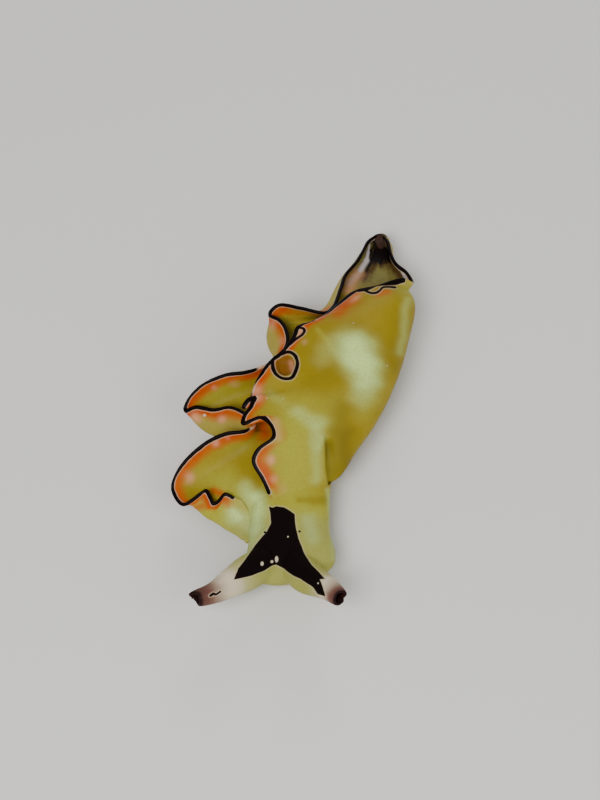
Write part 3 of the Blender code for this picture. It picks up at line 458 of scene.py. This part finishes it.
def right_sheet():
    """The same for the right flap, whose lobes are channels that end in raised edges."""
    y, edge = along_edge(EDGE_RIGHT)
    angle = np.radians(180 - spline(ROOT_RIGHT, y)[:, 0])
    hem = evened(edge, RIGHT_HEM)
    root = trunk_point(y, angle)
    keel = evened(spline(KEEL, y), RIGHT_HEM)
    guides = [trunk_point(y, angle, SUNK), root, root * 0.5 + keel * 0.5, keel, hem]
    return y, frilled(through(guides, RIGHT_PLACES), edge - hem, RIGHT_FRILL_FROM)


def softened(surface, pull):
    """The surface with its bends across softened, and its first and last rows kept."""
    surface = surface.copy()
    for _ in range(BEND_PASSES):
        surface[:, 1:-1] += pull * (surface[:, :-2] + surface[:, 2:] - 2 * surface[:, 1:-1])
    return surface


def strip_faces(count, around):
    """Quads of a loft through this many closed rings."""
    i, m = np.meshgrid(np.arange(count - 1), np.arange(around), indexing="ij")
    a, b = i * around + m, i * around + (m + 1) % around
    return np.stack([a, b, b + around, a + around], -1).reshape(-1, 4)


class Source:
    """A closed surface that the skin is joined from, with the fields that its points carry."""

    FIELDS = ("rim", "flap", "outer", "reach", "rhino")
    FAR = {"rim": 9.0}

    def __init__(self, rings, **fields):
        """Loft through the rings, each closed by a fan at its two ends."""
        count, around = rings.shape[:2]
        ends = rings[[0, -1]].mean(1)
        self.points = np.concatenate([rings.reshape(-1, 3), ends])
        quads = strip_faces(count, around)
        turn = np.arange(around)
        first = np.stack([np.full(around, count * around), (turn + 1) % around, turn], -1)
        start = (count - 1) * around
        last = np.stack([np.full(around, count * around + 1), start + turn, start + (turn + 1) % around], -1)
        self.triangles = np.concatenate([quads[:, [0, 1, 2]], quads[:, [0, 2, 3]], first, last])
        if self.volume() < 0:
            self.triangles = self.triangles[:, ::-1]
        self.values = np.empty((len(self.points), len(self.FIELDS)))
        for k, name in enumerate(self.FIELDS):
            given = np.asarray(fields.get(name, self.FAR.get(name, 0.0)), float)
            given = np.broadcast_to(given, (count, around))
            self.values[:, k] = np.concatenate([given.ravel(), given[[0, -1]].mean(1)])

    def volume(self):
        a, b, c = self.points[self.triangles].swapaxes(0, 1)
        return np.einsum("ij,ij->i", a, np.cross(b, c)).sum() / 6


def flap_middle(sheet, pleats):
    """The sheet with its points at ROWS and its bends softened, and each point's distance down its column.

    Pleats away from the edge keep this share of their depth.
    """
    run = np.concatenate([np.zeros((len(sheet), 1)),
                          np.cumsum(norm(np.diff(sheet, axis=1), axis=2), axis=1)], 1)
    width = run[:, -1]
    middle = np.empty((len(sheet), len(ROWS), 3))
    for i, far in enumerate(run):
        for k in range(3):
            middle[i, :, k] = np.interp(ROWS * far[-1], far, sheet[i, :, k])
    pull = np.minimum(BEND_PULL, (BEND / (width / len(ROWS))) ** 2 / (2 * BEND_PASSES))
    middle = softened(middle, pull[:, None, None])
    from_edge = (1 - ROWS)[None, :] * width[:, None]
    share = (1 - pleats) * ease(from_edge, *PLEATS_FROM)[..., None]
    middle += share * (evened_along(middle, PLEATS_EVENED) - middle)
    return middle, from_edge


def flap_half(from_edge):
    """Half thickness of a flap at each point, thicker towards its root and thin where it is narrow."""
    width = from_edge[:, :1]
    body = EDGE_HALF + (MIDDLE_HALF - EDGE_HALF) * ease(from_edge, 0, EDGE_TAPER)
    extra = np.minimum(ROOT_HALF - MIDDLE_HALF, SWELL * width)
    half = body + extra * (1 - ease(ROWS, 0, ROOT_REACH))[None, :]
    return half * ease(from_edge + 0.5 * width, *NARROW)


def flap_edge(middle):
    """Direction out of the free edge and square to it, and how much of each column runs that way."""
    out = unit(evened(unit(middle[:, -1] - middle[:, -2]), NORMAL_EVENED))
    runs = unit(evened(np.gradient(middle[:, -1], axis=0), EDGE_EVENED))
    square = out - np.einsum("ij,ij->i", out, runs)[:, None] * runs
    slant = np.maximum(norm(square, axis=1, keepdims=True), LEAST_SLANT)
    return unit(square), evened(slant, NORMAL_EVENED)


def flap(sheet_of, side, line, pleats):
    """A side flap as a thick sheet: up one face, round the free edge and back, with its fields."""
    y, sheet = sheet_of()
    middle, from_edge = flap_middle(sheet, pleats)
    half = flap_half(from_edge)
    normal = unit(np.cross(np.gradient(middle, axis=0), np.gradient(middle, axis=1)))
    normal = unit(evened_along(normal, NORMAL_EVENED))
    out, slant = flap_edge(middle)
    turn = np.radians(RIM_TURNS)
    round_edge = np.cos(turn)[:, None] * out[:, None] + np.sin(turn)[:, None] * normal[:, -1, None]
    rim = middle[:, -1, None] + half[:, -1, None, None] * round_edge
    upper = middle + normal * half[..., None]
    lower = middle - normal * half[..., None]
    rings = np.concatenate([upper, rim, lower[:, ::-1]], 1)
    from_rim = np.concatenate([from_edge, np.zeros((len(y), len(turn))), from_edge[:, ::-1]], 1)
    from_rim *= 1 - (1 - slant) * (1 - ease(from_rim, *SLANT_REACH))
    from_rim -= np.clip(-TURNED_MORE * (out @ SIGHT), *TURNED_LIMITS)[:, None]
    from_rim += LINE_THIN * (1 - np.interp(y, *line.T))[:, None]
    rows = np.concatenate([ROWS, np.ones(len(turn)), ROWS[::-1]])
    outer = np.concatenate([np.ones(len(ROWS)), np.linspace(1, -1, len(turn)), -np.ones(len(ROWS))])
    keep = slice(None, None, 2)
    return Source(rings[keep], rim=from_rim[keep], flap=side, outer=outer[None, :], reach=rows[None, :])


def trunk():
    first, last = TRUNK[0, 0], TRUNK[-1, 0]
    stations = np.concatenate([[first], np.linspace(first + 0.03, last - 0.03, TRUNK_RINGS), [last]])
    angles = np.linspace(0, 2 * math.pi, TRUNK_AROUND, endpoint=False)
    return Source(np.stack([trunk_point(np.full(len(angles), y), angles) for y in stations]))


def foot():
    """The foot, with a flat sole and a rounded edge, up to where it joins the trunk."""
    rings = []
    for y in np.linspace(SOLE[0, 0], SOLE[-1, 0], SOLE_RINGS):
        x, half = spline(SOLE, y)
        lip = min(SOLE_LIP, half * 0.4)
        profile = [(half - lip, 0), (half - lip * 0.35, 0.06), (half, SOLE_THICK * 0.4),
                   (half - lip * 0.3, SOLE_THICK * 0.8), (half - lip * 1.4, SOLE_THICK * 1.2),
                   (half * 0.5, SOLE_THICK * 1.5)]
        low = 1 - FRONT_LOW * (1 - ease(y - SOLE[0, 0], 0, 0.4))
        side = [(x + w, y, z * low) for w, z in profile]
        rings.append(side + [(2 * x - px, py, pz) for px, py, pz in reversed(side)])
    return Source(np.array(rings))


def rhinophore(axis, lips, late):
    """Rolled tube with a slit along its lower outer side and a hollow tip, whose two lips reach on this far.

    It takes its tip's colours the later, the greater late is.
    """
    up = np.linspace(0, 1, RHINO_RINGS)
    s = np.concatenate([up, [1.005, 1.0], np.linspace(0.98, 0.86, RHINO_HOLLOW)])
    hollow = np.linspace(0.66, 0.32, RHINO_HOLLOW)
    scale = np.concatenate([1 - 0.06 * ease(up, 0.94, 1.0), [0.84, 0.72], hollow])
    rows = spline(axis, s)
    ahead = unit((spline(axis, np.clip(s + 0.02, 0, 1)) - spline(axis, np.clip(s - 0.02, 0, 1)))[:, :3])
    outward = unit(np.cross(ahead, [0, 0, 1.0]))
    upward = np.cross(outward, ahead)
    around = np.linspace(0, 2 * math.pi, RHINO_AROUND, endpoint=False)
    towards = math.radians(SLIT_ANGLE) if axis[-1, 1] < axis[0, 1] else math.pi - math.radians(SLIT_ANGLE)
    off = (around - towards + math.pi) % (2 * math.pi) - math.pi
    depth = SLIT_DEPTH * ease(s, 0.25, 0.85)
    radius = (rows[:, 3] * scale)[:, None] * (1 - depth[:, None] * np.exp(-(off / SLIT_WIDE) ** 2)[None, :])
    rings = rows[:, None, :3] + radius[..., None] * (np.cos(around)[None, :, None] * outward[:, None]
                                                     + np.sin(around)[None, :, None] * upward[:, None])
    further = (lips[0] * np.maximum(np.cos(around), 0) ** 1.5
               + lips[1] * np.maximum(-np.cos(around), 0) ** 1.5)
    rings += (ease(s, 0.8, 1.0)[:, None] * further)[..., None] * ahead[:, None]
    return Source(rings, rhino=np.maximum.accumulate(s)[:, None] ** late)


def ball(centre, radii):
    turn = np.linspace(-math.pi / 2, math.pi / 2, BALL_RINGS)[1:-1]
    around = np.linspace(0, 2 * math.pi, BALL_AROUND, endpoint=False)
    rings = np.stack([np.cos(turn)[:, None] * np.cos(around), np.cos(turn)[:, None] * np.sin(around),
                      np.broadcast_to(np.sin(turn)[:, None], (len(turn), len(around)))], -1)
    return Source(centre + rings * np.array(radii))


def body_sources():
    """The closed surfaces of the body's parts."""
    sources = [trunk(), foot(), flap(left_sheet, 1, LINE_LEFT, 0.0), flap(right_sheet, -1, LINE_RIGHT, 1.0),
               rhinophore(RHINO_RIGHT, *TIP_RIGHT), rhinophore(RHINO_LEFT, *TIP_LEFT)]
    return sources + [ball(MOUTH + np.array([sign * LOBE_APART, 0, 0]), LOBE_RADII) for sign in (-1, 1)]


def joined(sources):
    """Points and triangles of all the sources together, with their fields."""
    starts = np.cumsum([0] + [len(s.points) for s in sources[:-1]])
    return (np.concatenate([s.points for s in sources]),
            np.concatenate([s.triangles + k for s, k in zip(sources, starts)]),
            np.concatenate([s.values for s in sources]))


def new_object(name, points, faces):
    mesh = bpy.data.meshes.new(name)
    mesh.from_pydata(points.tolist(), [], faces.tolist())
    made = bpy.data.objects.new(name, mesh)
    bpy.context.scene.collection.objects.link(made)
    return made


def remeshed(points, triangles):
    """One surface round the union of closed surfaces, as points and quads in millimetres."""
    rough = new_object("rough", points, triangles)
    step = rough.modifiers.new("union", "REMESH")
    step.mode = "VOXEL"
    step.voxel_size = VOXEL
    step.adaptivity = 0
    mesh = rough.evaluated_get(bpy.context.evaluated_depsgraph_get()).to_mesh()
    out = np.empty(len(mesh.vertices) * 3)
    mesh.vertices.foreach_get("co", out)
    faces = np.empty(len(mesh.loops), int)
    mesh.loops.foreach_get("vertex_index", faces)
    if len(faces) != 4 * len(mesh.polygons):
        raise ValueError("the remesh gave faces that are not quads")
    rough.to_mesh_clear()
    bpy.data.objects.remove(rough)
    return out.reshape(-1, 3), faces.reshape(-1, 4)


def neighbours(faces, count):
    """Both directions of every edge, and how many neighbours each point has."""
    pairs = np.concatenate([faces[:, [k, (k + 1) % 4]] for k in range(4)])
    pairs = np.concatenate([pairs, pairs[:, ::-1]])
    pairs = np.unique(pairs[:, 0] * count + pairs[:, 1])
    a, b = pairs // count, pairs % count
    return a, b, np.maximum(np.bincount(a, minlength=count), 1)


def pull_to_mean(points, net):
    """What would take each point to the mean of its neighbours."""
    a, b, number = net
    means = [np.bincount(a, points[b, k], minlength=len(points)) / number for k in range(points.shape[1])]
    return np.stack(means, -1) - points


def normals(points, faces):
    p = points[faces]
    across = np.cross(p[:, 2] - p[:, 0], p[:, 3] - p[:, 1])
    out = np.zeros_like(points)
    for k in range(4):
        for axis in range(3):
            out[:, axis] += np.bincount(faces[:, k], across[:, axis], minlength=len(points))
    return unit(out)


def smoothed(points, net, passes):
    """The points with small steps taken out and hardly any volume lost."""
    for _ in range(passes):
        points = points + SMOOTH_IN * pull_to_mean(points, net)
        points = points - SMOOTH_OUT * pull_to_mean(points, net)
    return points


def evened_skin(points, faces, net, fillet):
    """Skin without the remesh's steps. Hollow creases where parts join are filled where fillet is 1."""
    points = smoothed(points, net, SMOOTH_FIRST)
    for _ in range(FILLET_PASSES):
        normal = normals(points, faces)
        inward = np.einsum("ij,ij->i", pull_to_mean(points, net), normal)
        points = points + (FILLET_PULL * fillet * np.maximum(inward, 0))[:, None] * normal
    return smoothed(points, net, SMOOTH_LAST)


def fields_at(points, source):
    """The sources' fields by name, each at the place on them that is nearest to each point."""
    source_points, triangles, values = source
    tree = BVHTree.FromPolygons(source_points.tolist(), triangles.tolist(), all_triangles=True)
    found = [tree.find_nearest(p) for p in points.tolist()]
    place = np.array([f[0] for f in found])
    tri = triangles[[f[2] for f in found]]
    a, b, c = source_points[tri].swapaxes(0, 1)
    whole = np.maximum(norm(np.cross(b - a, c - a), axis=1), 1e-12)
    wa = norm(np.cross(b - place, c - place), axis=1) / whole
    wb = norm(np.cross(c - place, a - place), axis=1) / whole
    wc = norm(np.cross(a - place, b - place), axis=1) / whole
    weight = np.stack([wa, wb, wc], -1)
    weight /= np.maximum(weight.sum(1, keepdims=True), 1e-9)
    fields = np.einsum("ij,ijk->ik", weight, values[tri])
    return {name: fields[:, k] for k, name in enumerate(Source.FIELDS)}


def to_segment(at, start, along):
    """Distance to a straight line, and the place on it that is nearest, from 0 to 1."""
    u = np.clip(((at - start) @ along) / max(along @ along, 1e-9), 0, 1)
    return norm(at - start - u[:, None] * along, axis=1), u


def inside_distance(at, outline):
    """Distance to a closed outline, above 0 inside it."""
    best = np.full(len(at), 1e9)
    inside = np.zeros(len(at), bool)
    for a, b in zip(outline, np.roll(outline, -1, axis=0)):
        best = np.minimum(best, to_segment(at, a, b - a)[0])
        crosses = (a[1] > at[:, 1]) != (b[1] > at[:, 1])
        x = a[0] + (at[:, 1] - a[1]) / ((b[1] - a[1]) or 1e-9) * (b[0] - a[0])
        inside ^= crosses & (at[:, 0] < x)
    return np.where(inside, best, -best)


def drawn_at(points, height):
    """Plan position that each point has when it slides along the photo's line of sight to this height."""
    return np.stack([points[:, 0], points[:, 1] + (points[:, 2] - height) * BACK_PER_UP], -1)


def line_distance(at, line):
    """Distance to a smooth line through these points, and the place on it that is nearest, from 0 to 1."""
    rows = np.column_stack([np.arange(len(line)), line])
    line = spline(rows, np.linspace(0, len(line) - 1, 6 * len(line)))
    away, place = np.full(len(at), 1e9), np.zeros(len(at))
    for k, (a, b) in enumerate(zip(line, line[1:])):
        distance, u = to_segment(at, a, b - a)
        place = np.where(distance < away, (k + u) / (len(line) - 1), place)
        away = np.minimum(away, distance)
    return away, place


def crease_depth(points, side):
    """Depth, from 0 to 1, of the step where the left flap's bulge passes behind the neck's part of it."""
    plan = drawn_at(points, PATCH_HEIGHT)
    away, place = line_distance(plan, CREASE)
    on_bulge = plan[:, 0] > np.interp(plan[:, 1], CREASE[::-1, 1], CREASE[::-1, 0])
    wide = np.where(on_bulge, np.interp(place, (0, 1), CREASE_BULGE), np.interp(place, (0, 1), CREASE_NECK))
    depth = ease(place, 0, 0.3) * np.exp(-(away / wide) ** 2)
    return depth * ease(points[:, 2], 1.6, 2.4) * np.clip(side, 0, 1)


def fillet_share(points, named):
    """Where hollow creases are filled: at the parts' roots and on the left flap, but not by the mouth."""
    share = (1 - ease(named["reach"], 0.15, 0.4)) * (1 - ease(named["rhino"], 0.3, 0.6))
    face = np.clip(named["flap"], 0, 1) * np.clip(named["outer"], 0, 1)
    share = np.maximum(share, face * ease(named["rim"], 0.5, 1.0))
    share *= ease(points[:, 2], 0.3, 0.8)
    return share * ease(norm(points - MOUTH, axis=1), 0.8, 1.4)


def funnel_away(plan):
    """Distance from the middle of the funnel, as a share of its radius."""
    across, along = ((plan - FUNNEL_AT) / FUNNEL_RADII).T
    return np.hypot(across, along)


def funnelled(points, side):
    """The skin with the pit and the raised lip of the funnel at the left flap's edge."""
    away = funnel_away(drawn_at(points, PATCH_HEIGHT))
    rise = FUNNEL_LIP * np.exp(-((away - 1.05) / 0.25) ** 2) - FUNNEL_DEEP * (1 - ease(away, 0.35, 1.0))
    moved = points.copy()
    moved[:, 2] += rise * (side > 0.5) * (points[:, 2] > FUNNEL_ABOVE)
    return moved


def close_round_eyes(points):
    """Draws the skin of the head up to the eyes, so that only their tops show."""
    for eye in EYES.values():
        away = norm(points[:, :2] - eye[:2], axis=1)
        close = 1 - ease(away, *EYE_CLOSE)
        top = points[:, 2] > EYE_ABOVE
        points[:, 2] += np.where(top, close * (eye[2] + EYE_COVER - points[:, 2]), 0)


def build_skin():
    source = joined(body_sources())
    points, faces = remeshed(*source[:2])
    net = neighbours(faces, len(points))
    named = fields_at(points, source)
    crease = crease_depth(points, named["flap"])
    fillet = np.maximum(fillet_share(points, named), ease(crease, 0.05, 0.3))
    points = evened_skin(points, faces, net, fillet)
    named = fields_at(points, source)
    points = points - CREASE_DEEP * crease[:, None] * SIGHT
    points = funnelled(points, named["flap"])
    points[:, 2] = np.maximum(points[:, 2], 0)
    close_round_eyes(points)
    add_markings(points, normals(points, faces), named)
    skin = new_object("skin", points * MM, faces)
    for name, value in named.items():
        layer = skin.data.attributes.new(name, "FLOAT", "POINT")
        layer.data.foreach_set("value", value.astype(np.float32))
    skin.data.shade_smooth()
    return skin


def patch_field(at, rows, named):
    """Strength, from 0 to 1, of the soft patches together at each plan position."""
    x, y = at.T
    shift = np.stack([np.sin(1.9 * y + 0.4) + 0.6 * np.sin(4.3 * y + 2.1 * x),
                      np.sin(1.7 * x + 1.1) + 0.6 * np.sin(3.9 * x - 2.6 * y)], -1)
    side, outer = named["flap"], named["outer"]
    left_flap = np.clip(side, 0, 1)
    sheets = {"l": left_flap * ease(outer, -0.5, 0.5), "i": left_flap * ease(-outer, -0.5, 0.5),
              "r": np.clip(-side, 0, 1), "b": 1 - np.abs(side), "c": named["cup"]}
    left = np.ones(len(at))
    for where, x0, y0, x1, y1, radius, amount in rows:
        moved = at + PATCH_WANDER * min(radius, 1.0) * shift
        away = to_segment(moved, np.array([x0, y0]), np.array([x1 - x0, y1 - y0]))[0]
        left *= 1 - amount * np.exp(-(away / radius) ** 2) * sum(sheets[letter] for letter in where)
    return 1 - left


def mark_field(points, normal, head, plan, named):
    """How far inside the head's black mark or a black stroke each point lies, in millimetres."""
    mark = np.full(len(points), FAR_FROM_MARK)
    near = (points[:, 1] < HEAD_BEFORE) & (points[:, 2] > HEAD_ABOVE) & (named["reach"] < 0.5)
    mark[near] = inside_distance(head[near], HEAD_MARK)
    half, line = HEAD_STROKE
    mark[near] = np.maximum(mark[near], half - line_distance(head[near], line)[0])
    mark[near] -= 1.5 * (1 - ease(normal[near] @ SIGHT, -0.25, 0.15))
    near = (named["flap"] > 0.5) & (named["outer"] > 0) & (points[:, 2] > STROKES_ABOVE)
    for half, line in STROKES:
        mark[near] = np.maximum(mark[near], half - line_distance(plan[near], line)[0])
    return mark


def add_tail(points, named):
    """Adds the tail cup's patches, whose dark ones break up into streaks that fan out from the tail's end."""
    tail = drawn_at(points, TAIL_HEIGHT)
    for name, rows in TAIL_PATCHES.items():
        named[name] = patch_field(tail, rows, named)
    turn = np.arctan2(tail[:, 0] - TAIL_END[0], TAIL_END[1] - tail[:, 1])
    streaks = np.sin(23 * turn) + 0.7 * np.sin(41 * turn + 1) + 0.5 * np.sin(67 * turn + 2)
    for name in ("tail_black", "tail_brown"):
        named[name] += TAIL_STREAKS * streaks * ease(named[name], 0.02, 0.25)
    named["cup"] *= ease(tail[:, 1], 9.3, 10.6)


def add_markings(points, normal, named):
    """Adds the fields of the markings that lie at fixed places."""
    head, plan = drawn_at(points, HEAD_TOP), drawn_at(points, PATCH_HEIGHT)
    named["mark"] = mark_field(points, normal, head, plan, named)
    fleck = np.zeros(len(points))
    for x, y, wide, tall in FLECKS:
        fleck = np.maximum(fleck, 1 - np.hypot((head[:, 0] - x) / wide, (head[:, 1] - y) / tall))
    named["fleck"] = fleck
    # the head's share, which greys it with painted shade
    named["head"] = 1 - ease(points[:, 1], -8.8, -7.2)
    side, outer = named["flap"], named["outer"]
    named["funnel"] = (1 - ease(funnel_away(plan), 0.75, 1.0)) * (side > 0.5) * (outer > 0)
    inner = np.clip(np.abs(side), 0, 1) * ease(-outer * side, -0.5, 0.5)
    top = (1 - np.abs(side)) * ease(normal[:, 2], -0.1, 0.4)
    named["cup"] = ease(points[:, 1], 9.0, 9.6) * (inner + top)
    for name, rows in PATCHES.items():
        named[name] = patch_field(plan, rows, named)
    named["yellow_and_painted_light"] = np.maximum(named["yellow_and_painted_light"], 1 - ease(points[:, 1], -7.4, -6.0))
    named["wall"] = np.clip(-side, 0, 1) * ease(-outer, -0.5, 0.5)
    add_tail(points, named)
    outside = np.abs(side) * ease(outer * side, -0.5, 0.5)
    start = np.where(side > 0, *PLAIN_FROM)
    named["plain"] = np.maximum(named["cup"], outside * ease(points[:, 1], start, start + 0.8))
    named["plain"] = np.maximum(named["plain"], patch_field(plan, BARE, named))


class Nodes:
    """Short ways to add shader nodes."""

    def __init__(self, material):
        material.use_nodes = True
        self.tree = material.node_tree
        self.shader = self.tree.nodes["Principled BSDF"]

    def add(self, kind, **settings):
        node = self.tree.nodes.new("ShaderNode" + kind)
        for key, value in settings.items():
            setattr(node, key, value)
        return node

    def feed(self, node, values):
        """Links or sets the node's inputs, which go by name or number."""
        for key, value in values.items():
            socket = node.inputs[key]
            if isinstance(value, bpy.types.NodeSocket):
                self.tree.links.new(value, socket)
            elif socket.type == "RGBA":
                socket.default_value = (*value, 1)
            else:
                socket.default_value = value
        return node

    def field(self, name):
        return self.add("Attribute", attribute_name=name).outputs["Fac"]

    def math(self, operation, a, b=0.0, c=0.0):
        return self.feed(self.add("Math", operation=operation), {0: a, 1: b, 2: c}).outputs[0]

    def rise(self, value, low, high, top=1.0):
        """0 at low and beyond, top at high and beyond, whichever of them is greater."""
        start, end = 0.0, top
        if low > high:
            low, high, start, end = high, low, top, 0.0
        node = self.add("MapRange", interpolation_type="SMOOTHSTEP")
        self.feed(node, {"Value": value, "From Min": low, "From Max": high, "To Min": start, "To Max": end})
        return node.outputs["Result"]

    def times(self, *values):
        """All the values multiplied together."""
        total = values[0]
        for value in values[1:]:
            total = self.math("MULTIPLY", total, value)
        return total

    def mix(self, share, a, b):
        return self.feed(self.add("Mix", data_type="RGBA"), {0: share, 6: a, 7: b}).outputs[2]

    def painted(self, colour, *layers):
        """The colour with these layers over it, each a share and a colour."""
        for share, over in layers:
            colour = self.mix(share, colour, over)
        return colour

    def noise(self, scale, detail=3.0, seed=0.0):
        """Noise from 0 to 1, with this many waves per millimetre."""
        place = self.add("TexCoord").outputs["Object"]
        shift = self.add("VectorMath", operation="ADD")
        self.feed(shift, {0: place, 1: (seed, 0.37 * seed, -0.61 * seed)})
        node = self.add("TexNoise")
        self.feed(node, {"Vector": shift.outputs[0], "Scale": scale / MM, "Detail": detail})
        return node.outputs["Fac"]


def flesh(n):
    """Olive flesh, clouded, with painted shade, yellow patches that also paint light on the right lobes, mint
    patches that are partly painted highlight, and painted shade over the head.
    """
    cloud = n.rise(n.noise(0.35, seed=0.01), 0.35, 0.68)
    grain = n.rise(n.noise(7.0, detail=2.0, seed=0.05), 0.40, 0.70)
    painted_shade, yellow_and_painted_light, mint_and_highlight = n.field("painted_shade"), n.field("yellow_and_painted_light"), n.field("mint_and_highlight")
    return n.painted(
        OLIVE,
        (n.times(cloud, 0.40), OLIVE_DARK),
        (n.field("wall"), WALL),
        # painted shade, mostly along the crease
        (n.times(painted_shade, 0.9), OLIVE_SHADE),
        # pale yellow, on the right lobes painted light
        (yellow_and_painted_light, YELLOW_PALE),
        # more painted shade where the shade patches lie on yellow
        (n.times(painted_shade, yellow_and_painted_light, 0.7), OLIVE_DARK),
        # mint, partly painted highlight
        (n.rise(mint_and_highlight, 0.0, 0.70), MINT_PALE),
        (n.rise(mint_and_highlight, 0.50, 1.0), MINT_BRIGHT),
        (n.times(grain, 0.18), OLIVE_DARK),
        # painted shade, greying the head
        (n.times(n.field("head"), 0.4), HEAD_SHADE))


def orange_hem(n, colour, rim):
    """The orange band along the free edges with its pink spots, and the funnel."""
    wide = n.math("MULTIPLY_ADD", n.noise(0.45, seed=0.03), *BAND_WIDE)
    band = n.math("SUBTRACT", 1.0, n.math("DIVIDE", rim, wide))
    orange = n.mix(n.rise(n.noise(0.9, seed=0.04), 0.35, 0.65), ORANGE_DEEP, ORANGE_LIGHT)
    plain, spot, funnel = n.field("plain"), n.field("spot"), n.field("funnel")
    glow = n.math("MAXIMUM", n.rise(band, 0.0, 0.7), n.field("glow"))
    glow = n.times(glow, n.math("SUBTRACT", 1.0, plain), n.rise(n.field("yellow_and_painted_light"), 1.0, 0.9))
    return n.painted(
        colour,
        (n.times(n.rise(rim, 0.9, 0.3), plain, 0.6), WALL),
        (glow, orange),
        (n.times(spot, n.rise(rim, 1.9, 1.0), 0.85), PINK),
        (funnel, FUNNEL),
        (n.times(funnel, spot, 0.9), PINK))


def tail_cup(n, colour):
    """The cup between the flaps at the tail, with its dark core, pale streaks and brown tip."""
    ragged = n.math("MULTIPLY", n.math("SUBTRACT", n.noise(4.0, seed=0.08), 0.5), 0.9)
    cup = n.mix(n.math("ADD", n.field("tail_brown"), ragged), CUP, TAIL_DARK)
    core = n.math("MULTIPLY_ADD", ragged, 0.4, n.field("tail_black"))
    return n.painted(
        colour,
        (n.times(n.field("cup"), 0.9), cup),
        (n.field("tail_pink"), PINK),
        (n.rise(core, 0.08, 0.85), BLACK),
        (n.rise(n.field("tail_tip"), 0.2, 0.7), TIP_BROWN),
        (n.rise(n.field("tail_white"), 0.1, 0.8, 0.9), LILAC))


def rhinophore_bands(n, colour, wander):
    """The rhinophores' pale middle and brown tips, with dark rims."""
    rhino = n.field("rhino")
    along = n.math("ADD", rhino, n.math("MULTIPLY", wander, 1.2))
    return n.painted(
        colour,
        (n.rise(along, 0.22, 0.45, 0.6), RHINO_PALE),
        (n.rise(along, 0.40, 0.60), WHITE),
        (n.rise(along, 0.60, 0.90), BROWN),
        (n.rise(along, 0.86, 1.02, 0.7), RHINO_DARK),
        (n.rise(rhino, 0.945, 0.985, 0.9), RHINO_DARK))


def black_lines(n, colour, rim, mark):
    """The black line of the free edges, the black mark and strokes, their cream borders and the flecks."""
    on_flap = n.math("ABSOLUTE", n.field("flap"))
    return n.painted(
        colour,
        (n.rise(mark, *MARK_BORDER, 0.45), CREAM),
        (n.times(n.rise(rim, *LINE_BORDER), on_flap, 0.7), CREAM),
        (n.times(n.rise(rim, *LINE_SIDE), on_flap), BLACK),
        (n.rise(mark, *MARK_SIDE), BLACK),
        (n.rise(n.field("fleck"), 0.05, 0.5), WHITE))


def skin_material():
    look = bpy.data.materials.new("slug_skin")
    n = Nodes(look)
    wander = n.math("MULTIPLY", n.math("SUBTRACT", n.noise(1.2, seed=0.02), 0.5), LINE_WANDER)
    rim = n.math("ADD", n.field("rim"), wander)
    mark = n.math("MULTIPLY_ADD", wander, 0.8, n.field("mark"))
    colour = tail_cup(n, orange_hem(n, flesh(n), rim))
    colour = black_lines(n, rhinophore_bands(n, colour, wander), rim, mark)
    height = n.noise(5.0, detail=4.0, seed=0.06)
    bump = n.feed(n.add("Bump"), {"Strength": BUMP_STRENGTH, "Distance": BUMP_HIGH * MM, "Height": height})
    rough = n.math("ADD", SKIN_ROUGH, n.rise(mark, *MARK_SIDE, MARK_ROUGHER))
    n.feed(n.shader, {"Base Color": colour, "Roughness": rough, "Normal": bump.outputs["Normal"]})
    n.feed(n.shader, SKIN_SHADER)
    return look


def plain_material(name, colour, roughness):
    look = bpy.data.materials.new(name)
    n = Nodes(look)
    n.feed(n.shader, {"Base Color": colour, "Roughness": roughness})
    return look


def area_light(name, place, size, power):
    """A round lamp that faces the slug, with its place and size in millimetres and its power in watts."""
    data = bpy.data.lights.new(name, "AREA")
    data.shape = "DISK"
    data.size = size * MM
    data.energy = power
    made = bpy.data.objects.new(name, data)
    bpy.context.scene.collection.objects.link(made)
    made.location = Vector(place) * MM
    made.rotation_euler = (made.location - Vector(CAMERA_AT) * MM).to_track_quat("Z", "Y").to_euler()


def make_stage():
    bpy.ops.mesh.primitive_plane_add(size=FLOOR_SIZE, location=(0, 0, -FLOOR_BELOW))
    floor = bpy.context.object
    floor.name = "floor"
    floor.data.materials.append(plain_material("floor_paint", FLOOR_COLOUR, FLOOR_ROUGH))
    for lamp in LAMPS:
        area_light(*lamp)
    world = bpy.data.worlds.new("world")
    world.use_nodes = True
    world.node_tree.nodes["Background"].inputs[0].default_value = (*SKY_COLOUR, 1)
    world.node_tree.nodes["Background"].inputs[1].default_value = SKY_POWER
    bpy.context.scene.world = world


def make_camera():
    data = bpy.data.cameras.new("camera")
    camera = bpy.data.objects.new("camera", data)
    bpy.context.scene.collection.objects.link(camera)
    back = Vector(SIGHT)
    camera.location = (Vector(CAMERA_AT) + back * CAMERA_FAR) * MM
    camera.rotation_euler = back.to_track_quat("Z", "Y").to_euler()
    data.sensor_width = SENSOR_WIDE
    data.lens = SENSOR_WIDE * PIXELS_PER_MM * CAMERA_FAR / LONG_SIDE
    data.clip_start, data.clip_end = CLIP
    bpy.context.scene.camera = camera


for thing in list(bpy.data.objects):
    bpy.data.objects.remove(thing)
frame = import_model()
make_camera()
make_stage()

skin = build_skin()
skin.data.materials.append(skin_material())
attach(skin, "root")
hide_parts(*[name for name in frame["nodes"] if name not in EYES])

eye_look = plain_material("eye_black", EYE_COLOUR, EYE_ROUGH)
for name in EYES:
    frame["nodes"][name].data.materials.clear()
    frame["nodes"][name].data.materials.append(eye_look)
    frame["nodes"][name].data.shade_smooth()
